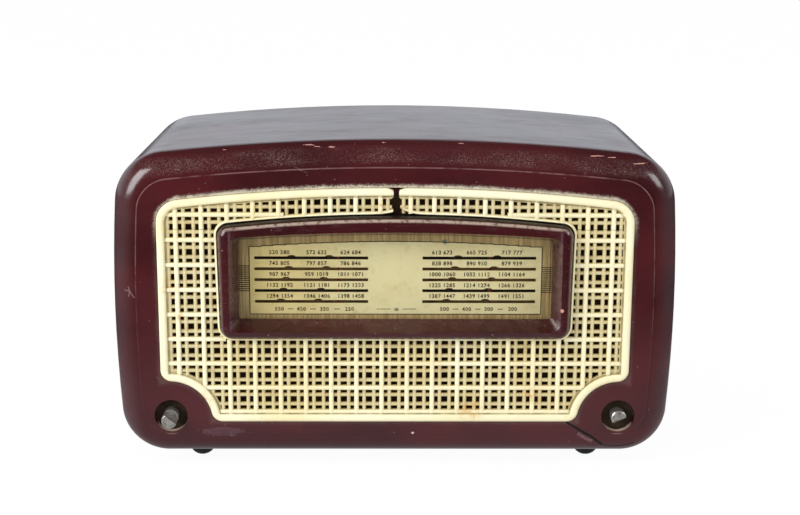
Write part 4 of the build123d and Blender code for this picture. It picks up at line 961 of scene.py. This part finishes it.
def figures(text, x, z, height, spacing, bolder):
    clear_selection()
    bpy.ops.object.text_add(location=place_of(x, print_depth, z), rotation=(quarter, 0, 0))
    label = bpy.context.object.data
    label.body = text
    label.align_x = "CENTER"
    label.size = height * 1.38 * MM
    label.space_character = spacing
    label.extrude = 0.02 * MM
    label.offset = bolder * MM
    label.resolution_u = 3
    bpy.ops.object.convert(target="MESH")
    keep("figures")


def rule_line(x, z, wide, high):
    """A printed bar with softened ends."""
    clear_selection()
    bpy.ops.mesh.primitive_cube_add(size=1, scale=(wide * MM, 0.04 * MM, high * MM),
                                    location=place_of(x, print_depth, z))
    bar = keep("rule")
    edit(bar)
    choose(bar, "edges", lambda middle, edge: abs(edge.verts[0].co.y - edge.verts[1].co.y) > 0.01 * MM)
    bpy.ops.mesh.bevel(offset=min(wide, high) * 0.3 * MM, segments=2, affect="EDGES")
    bpy.ops.object.mode_set(mode="OBJECT")


lower_row = 64.6
for text, x in [("550", -45.8), ("450", -37.1), ("350", -28.0), ("250", -18.1), ("m", 0.5),
                ("500", 19.5), ("400", 28.3), ("300", 37.0), ("200", 46.5)]:
    figures(text, x, lower_row, 1.55, 1.15, 0.03)
for x in (-41.4, -32.6, -23.0, 23.9, 32.7, 41.7):
    rule_line(x, lower_row + 0.7, 2.2, 0.28)
for x in (-4.6, 5.6):
    rule_line(x, lower_row + 0.7, 5.4, 0.2)

# %% Rows of small figures
top_slot, slot_pitch, slot_rows = 86.0, 4.42, 5
for row in range(slot_rows):
    z = top_slot - row * slot_pitch + 1.55
    for column, x in enumerate((-45.6, -31.0, -17.6, 18.4, 32.0, 45.8)):
        number = 520 + 190 * row + 31 * column + 7 * ((row * 5 + column * 3) % 9)
        figures(f"{number} {number + 60}", x, z, 1.6, 1.12, 0.035)

# %% [markdown]
# Small half-round blocks stand on the slots' upper edges, each a little further along, where the
# pointers are read, and a block of fine lines closes each side of the panel.

# %% Marks and hatching
def station_mark(x, z):
    """A low dome, flat at its foot."""
    clear_selection()
    bpy.ops.mesh.primitive_circle_add(vertices=20, radius=1.0, fill_type="NGON",
                                      location=place_of(x, print_depth, z), rotation=(quarter, 0, 0))
    bpy.context.object.scale = (1.6 * MM, 0.62 * MM, 1)
    edit(keep("station_mark"))
    bpy.ops.mesh.bisect(plane_co=(0, 0, z * MM), plane_no=(0, 0, 1), clear_inner=True, use_fill=False)
    bpy.ops.mesh.select_all(action="SELECT")
    push(0.03)
    turn_faces_out()


for row in range(slot_rows):
    z = top_slot - row * slot_pitch + 0.55
    for x in (-40.8, -26.0, 24.6, 40.0):
        station_mark(x - 1.1 * row, z)
for step in range(13):
    rule_line(-60.3, 72.7 + step * 0.84, 5.6, 0.36)
    rule_line(59.6, 72.2 + step * 0.84, 3.9, 0.34)

# %% Frame line
line_width, steps = 0.34, 24
frame_width = frame_right - frame_left
for index in range(steps):
    left = frame_left + frame_width * index / steps
    right = frame_left + frame_width * (index + 1) / steps
    middle = (left + right) / 2
    height = frame_shoulder + frame_rise * (1 - (middle / frame_reach) ** 2)
    rule_line(middle, height, right - left + 0.25, line_width)
rule_line((frame_left + frame_right) / 2, frame_foot, frame_width, line_width)
for x in (frame_left, frame_right):
    rule_line(x, (frame_foot + frame_shoulder) / 2, line_width, frame_shoulder - frame_foot)
for x in (-61.3, -60.4, 61.0):
    rule_line(x, 78.0, 0.14, 31.0)
dial_print = unite("dial_print", print_pieces)
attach(dial_print, "radio_body")
print("print", len(dial_print.data.polygons), "faces")

# %% Ink
ink = Paint("worn_ink")
wear = ink.cloud(1.5, 0.34, 0.50, 4)
ink.base = ink.shades(ink.noise(6, 3), 0.3, 0.7, (42, 30, 14), (78, 58, 26))
give(ink.dress(0.6 + 0.1 * wear, None, {"Alpha": 0.25 + 0.75 * wear}), "dial_print")

# %% [markdown]
# ### Glass
# A pane of flat glass lies on the card. It is modelled a hair clear of the print, with ground edges, so
# that no two faces share a plane. Thin clear glass is drawn as a mix of seeing through and mirroring,
# ruled by Fresnel, with a film of grease and dust that mirrors less sharply.

# %% Pane
pane_half, pane_low, pane_high, pane_front, pane_back = 63.5, 59.8, 97.7, 4.6, 6.46
pane_points = both_sides([(0.0, pane_low), (30.0, pane_low)]
                         + arc_points(pane_half - 3.0, pane_low + 3.0, 3.0, -90, 0, 8)
                         + corner_and_top(pane_half, pane_high, 3.0, sagitta_radius(127.0, 2.1), 16))
pane = flat_outline("dial_pane", pane_points, pane_back)
push(pane_front - pane_back)
choose(pane, "edges", lambda middle, edge: len(edge.link_faces) == 2
       and any(len(face.verts) > 8 for face in edge.link_faces))
bpy.ops.mesh.bevel(offset=0.25 * MM, segments=1, affect="EDGES")
turn_faces_out()
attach(pane, "radio_body")
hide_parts("dial_glass")

# %% Glass finish
def glass(name, tint, film):
    """Clear glass. The film is its share of grease and dust."""
    clear = Paint(name)
    grease = clear.cloud(9, 0.4, 0.75, 4, (1.5, 1, 0.8))
    clear.base = colour(235, 238, 236)
    mirror = clear.finish(0.04 + 0.22 * grease, None, {"IOR": 1.5, "Metallic": 1.0})
    through = clear.node("BsdfTransparent", {}, {"Color": tint})
    share = clear.node("Fresnel", {}, {"IOR": 1.45}) * 0.40 + grease * film
    return clear.show(clear.node("MixShader", {}, {0: share, 1: through, 2: mirror}))


give(glass("dial_glass_clear", (0.98, 0.98, 0.96, 1), 0.012), "dial_pane")

# %% [markdown]
# ## Metals
# The works use seven metals. Each is one recipe with its own colour, direction of brushing and tarnish:
# fine stretched noise for drawn or rolled lines, blotches that dull and darken it, and a few specks of
# rust or white bloom.

# %% Metal
def metal(name, bright, tarnish, spot_colour, roughness, grain=(1, 1, 1), spotted=0.3):
    paint = Paint(name)
    lines = paint.noise(1.2, 4, grain, 0.7)
    cloud = paint.noise(16, 5)
    paint.base = paint.shades(cloud, 0.35, 0.7, bright, tarnish)
    paint.stain(paint.rise(lines, 0.3, 0.8) * 0.25, tarnish)
    spots = paint.cloud(3.0, 0.72 - spotted * 0.4, 0.95 - spotted * 0.4, 5)
    paint.stain(spots * 0.7, spot_colour)
    paint.stain(paint.specks(2.2, 0.4, 0.1), spot_colour)
    rough = roughness + 0.16 * paint.rise(cloud, 0.3, 0.75) + 0.3 * spots + 0.1 * (lines - 0.5)
    return paint.dress(rough, 0.006 * lines + 0.012 * spots, {"Metallic": 1 - 0.6 * spots})


along_x, along_z, any_way = (12, 0.5, 0.5), (0.5, 0.5, 12), (1, 1, 1)
give(metal("zinc_plate", (196, 196, 192), (150, 150, 146), (120, 104, 84), 0.34),
     "board_screws", "dial_screws", "panel_screws", "chassis_screws", "back_cover_screws", "foot_screws")
give(metal("blued_spring_steel", (122, 128, 142), (76, 78, 88), (96, 70, 50), 0.3),
     "grille_nuts", "dial_clips", "pointer_carriage")
give(metal("plated_chassis", (192, 188, 170), (158, 152, 132), (126, 96, 64), 0.4, along_x, 0.36),
     "chassis", "front_panel")
give(metal("bright_steel_parts", (188, 190, 192), (140, 140, 142), (104, 82, 62), 0.28, along_x),
     "pointer_rail", "pulley_pins", "gang_frame", "volume_body")
give(metal("drawn_aluminium", (214, 214, 216), (176, 177, 180), (150, 148, 142), 0.32, along_z, 0.2),
     "gang_stator", "gang_rotor", "if_can_first", "if_can_second", "smoothing_capacitor")
give(metal("dull_brass", (196, 160, 92), (140, 108, 60), (84, 66, 44), 0.36, any_way, 0.34),
     "backplate_spacers", "lamp_holders", "cord_pulley_left", "cord_pulley_right", "cord_drum")
give(metal("dusty_collar", (186, 180, 164), (142, 134, 118), (112, 98, 78), 0.5, any_way, 0.5),
     "control_nuts", "tuning_bushing")

# %% [markdown]
# ### Shafts
# The knobs are gone, so the two steel shafts show. They have fine turned rings about each axis, a brighter
# rim and patchy tarnish, and painted shade darkens them towards the back, inside the holes.

# %% Shaft finish
shaft = Paint("turned_steel")
from_axis = length(shaft.x.size() - knob_x, shaft.z - knob_z)
tarnished = shaft.noise(2.6, 4)
shaft.base = shaft.shades(tarnished, 0.35, 0.7, (214, 210, 204), (150, 142, 134))
rim = shaft.rise(from_axis, 2.3, 2.8) * (1 - shaft.rise(from_axis, 2.95, 3.0))
shaft.stain(rim * 0.6, (214, 212, 208))
# Painted shade: darker towards the back, inside the holes.
shaft.stain(shaft.rise(shaft.depth, 1.0, 6.0) * 0.5, (70, 62, 56))
relief = 0.01 * (from_axis * 21.0).wave() + 0.02 * shaft.noise(0.7, 3)
give(shaft.dress(0.32 + 0.25 * shaft.rise(tarnished, 0.4, 0.7), relief, {"Metallic": 0.9}),
     "volume_shaft", "tuning_shaft")

# %% [markdown]
# ## Board, plastics, paper and rubber
# The rest of the works are plainer. Hardboard is felted wood fibre, smooth on its outer face. Phenolic
# laminate shows its layers at the edge. The transformer's sheets are stacked, so its core is striped, and
# the winding is wrapped in waxed paper. The cone is pulp with rings pressed in it.

# %% Hardboard
board = Paint("pressed_board")
fibre = board.noise(1.1, 5, (5, 1, 1.2), 0.7)
fleck = board.noise(2.4, 4, (1.2, 1, 4.0))
board.base = board.shades(fibre, 0.3, 0.7, (104, 74, 46), (136, 102, 66))
board.stain(board.rise(fleck, 0.58, 0.74) * 0.6, (74, 50, 30))
board.stain(board.cloud(40, 0.4, 0.7, 3) * 0.45, (92, 66, 44))
board.stain(board.specks(3.4, 0.5, 0.2) * 0.5, (168, 140, 100))
damp = board.rise(board.noise(22, 4) - (board.z - 20.0) / 160.0, 0.42, 0.60)
board.stain(damp * 0.35, (66, 48, 34))
rough = 0.62 + 0.2 * board.rise(fibre, 0.3, 0.8)
give(board.dress(rough, 0.05 * fibre + 0.05 * fleck, {"Specular IOR Level": 0.35}),
     "back_cover", "cloth_board")

# %% Plain finishes
def plain(name, light, dark, size, roughness, height, fixed=None, grain=any_way, dusty=0.25):
    """A matt stuff in two shades, with dust on what faces up."""
    paint = Paint(name)
    blend = paint.noise(size, 5, grain, 0.65)
    fine = paint.noise(size / 5, 4, grain)
    paint.base = paint.shades(blend, 0.35, 0.68, dark, light)
    facing = paint.node("SeparateXYZ", {}, {0: paint.node("NewGeometry", {}, {}, "Normal")}).also(2)
    settled = paint.rise(facing, 0.5, 0.95) * paint.cloud(3, 0.3, 0.7, 4) * dusty
    paint.stain(settled, (158, 148, 132))
    rough = roughness + 0.12 * paint.rise(fine, 0.3, 0.7) + 0.3 * settled
    return paint.dress(rough, height * (blend + 0.5 * fine), fixed)


give(plain("black_phenolic", (44, 38, 36), (24, 20, 20), 6, 0.34, 0.02),
     "mains_switch", "valve_sockets", "selector_housing", "voltage_selector")
give(plain("brown_laminate", (140, 92, 48), (96, 58, 28), 4, 0.42, 0.02, None, (4, 0.5, 1)),
     "volume_wiper", "aerial_socket")
give(plain("black_rubber", (42, 38, 37), (22, 19, 19), 5, 0.55, 0.04, {"Specular IOR Level": 0.4}),
     "feet", "mains_grommet")
give(plain("flat_black_paint", (38, 36, 34), (22, 21, 20), 8, 0.55, 0.015), "speaker_frame")
give(plain("red_enamel", (186, 44, 30), (140, 26, 20), 3, 0.4, 0.01, None, any_way, 0.0), "pointers")
give(plain("waxed_cord", (176, 156, 116), (132, 110, 74), 0.8, 0.7, 0.06, None, (1, 1, 0.4), 0.1),
     "dial_cord")

# %% [markdown]
# ### The plate behind the slots
# The slots in the card look on to a plate that is painted in bands, near black behind some slots and
# bronze behind others, so that the rows can be told apart when the lamps are lit.

# %% Backplate finish
plate = Paint("banded_plate")
bronze_rows = strongest(plate.band(plate.z, top_slot - row * slot_pitch, 1.9, 0.3) for row in (1, 2, 4))
patina = plate.noise(6, 4)
plate.base = plate.shades(patina, 0.35, 0.7, (52, 34, 16), (78, 54, 28))
plate.stain(bronze_rows, plate.shades(patina, 0.3, 0.7, (150, 112, 58), (182, 142, 80)))
give(plate.dress(0.5 + 0.1 * patina, 0.02 * patina), "dial_backplate")

# %% Transformer, winding and speaker
def striped(name, light, dark, pitch, depth, roughness, fixed=None):
    """Layers from front to back, each a touch different."""
    paint = Paint(name)
    layer = (paint.depth * (math.tau / pitch) + 1.5 * paint.noise(9, 2)).wave()
    uneven = paint.noise(pitch * 3, 3)
    paint.base = paint.mix(paint.rise(layer, -0.6, 0.6) * 0.6 + 0.4 * uneven, dark, light)
    rust = paint.cloud(5, 0.6, 0.78, 5)
    paint.stain(rust * 0.5, (96, 58, 34))
    return paint.dress(roughness + 0.2 * rust, depth * layer + 0.02 * uneven, fixed)


give(striped("varnished_sheets", (62, 58, 56), (28, 26, 26), 0.7, 0.05, 0.4, {"Metallic": 0.35}),
     "transformer_core", "output_transformer", "speaker_magnet")
give(striped("waxed_paper", (190, 158, 96), (150, 116, 62), 4.0, 0.06, 0.45), "transformer_winding")

cone = Paint("pulp_cone")
pressed = (length(cone.x, cone.z - 74.5) * (math.tau / 3.0)).wave()
pulp = cone.noise(1.2, 5, any_way, 0.7)
cone.base = cone.shades(pulp, 0.3, 0.7, (46, 42, 38), (72, 66, 58))
give(cone.dress(0.85 + 0.05 * pulp, 0.05 * pressed + 0.08 * pulp, {"Specular IOR Level": 0.2}),
     "speaker_cone")

# %% [markdown]
# ### Valves and lamps
# A valve's envelope shows grey plates through smoked glass, a silver flash under its tip and a clear
# band at the foot. All of that follows height, so it is painted by z under a sharp gloss.

# %% Valve and lamp finish
valve = Paint("valve_envelope")
valve_foot, valve_top = 40.0, 88.0
flash = valve.rise(valve.z + 3.0 * (valve.noise(6, 3) - 0.5), valve_top - 14.0, valve_top - 11.0)
plates = valve.band(valve.z, 58.0, 11.0, 0.8)
mesh_lines = (valve.z * (math.tau / 1.6)).wave()
valve.base = valve.mix(plates, (52, 54, 54), (104, 106, 106))
valve.stain(plates * valve.rise(mesh_lines, 0.2, 0.9) * 0.5, (60, 60, 60))
valve.stain(flash, (150, 152, 156))
valve.stain(1 - valve.rise(valve.z, valve_foot + 1.0, valve_foot + 4.0), (96, 100, 98))
fixed = {"Metallic": 0.85 * flash, "Coat Weight": 0.6, "Coat Roughness": 0.04}
give(valve.dress(0.06 + 0.18 * valve.cloud(7, 0.45, 0.7, 4), 0.01 * valve.noise(4, 2), fixed),
     "valve_mixer", "valve_intermediate", "valve_detector", "valve_output", "valve_rectifier")
give(glass("lamp_glass_clear", (0.96, 0.94, 0.86, 1), 0.06), "dial_lamps")
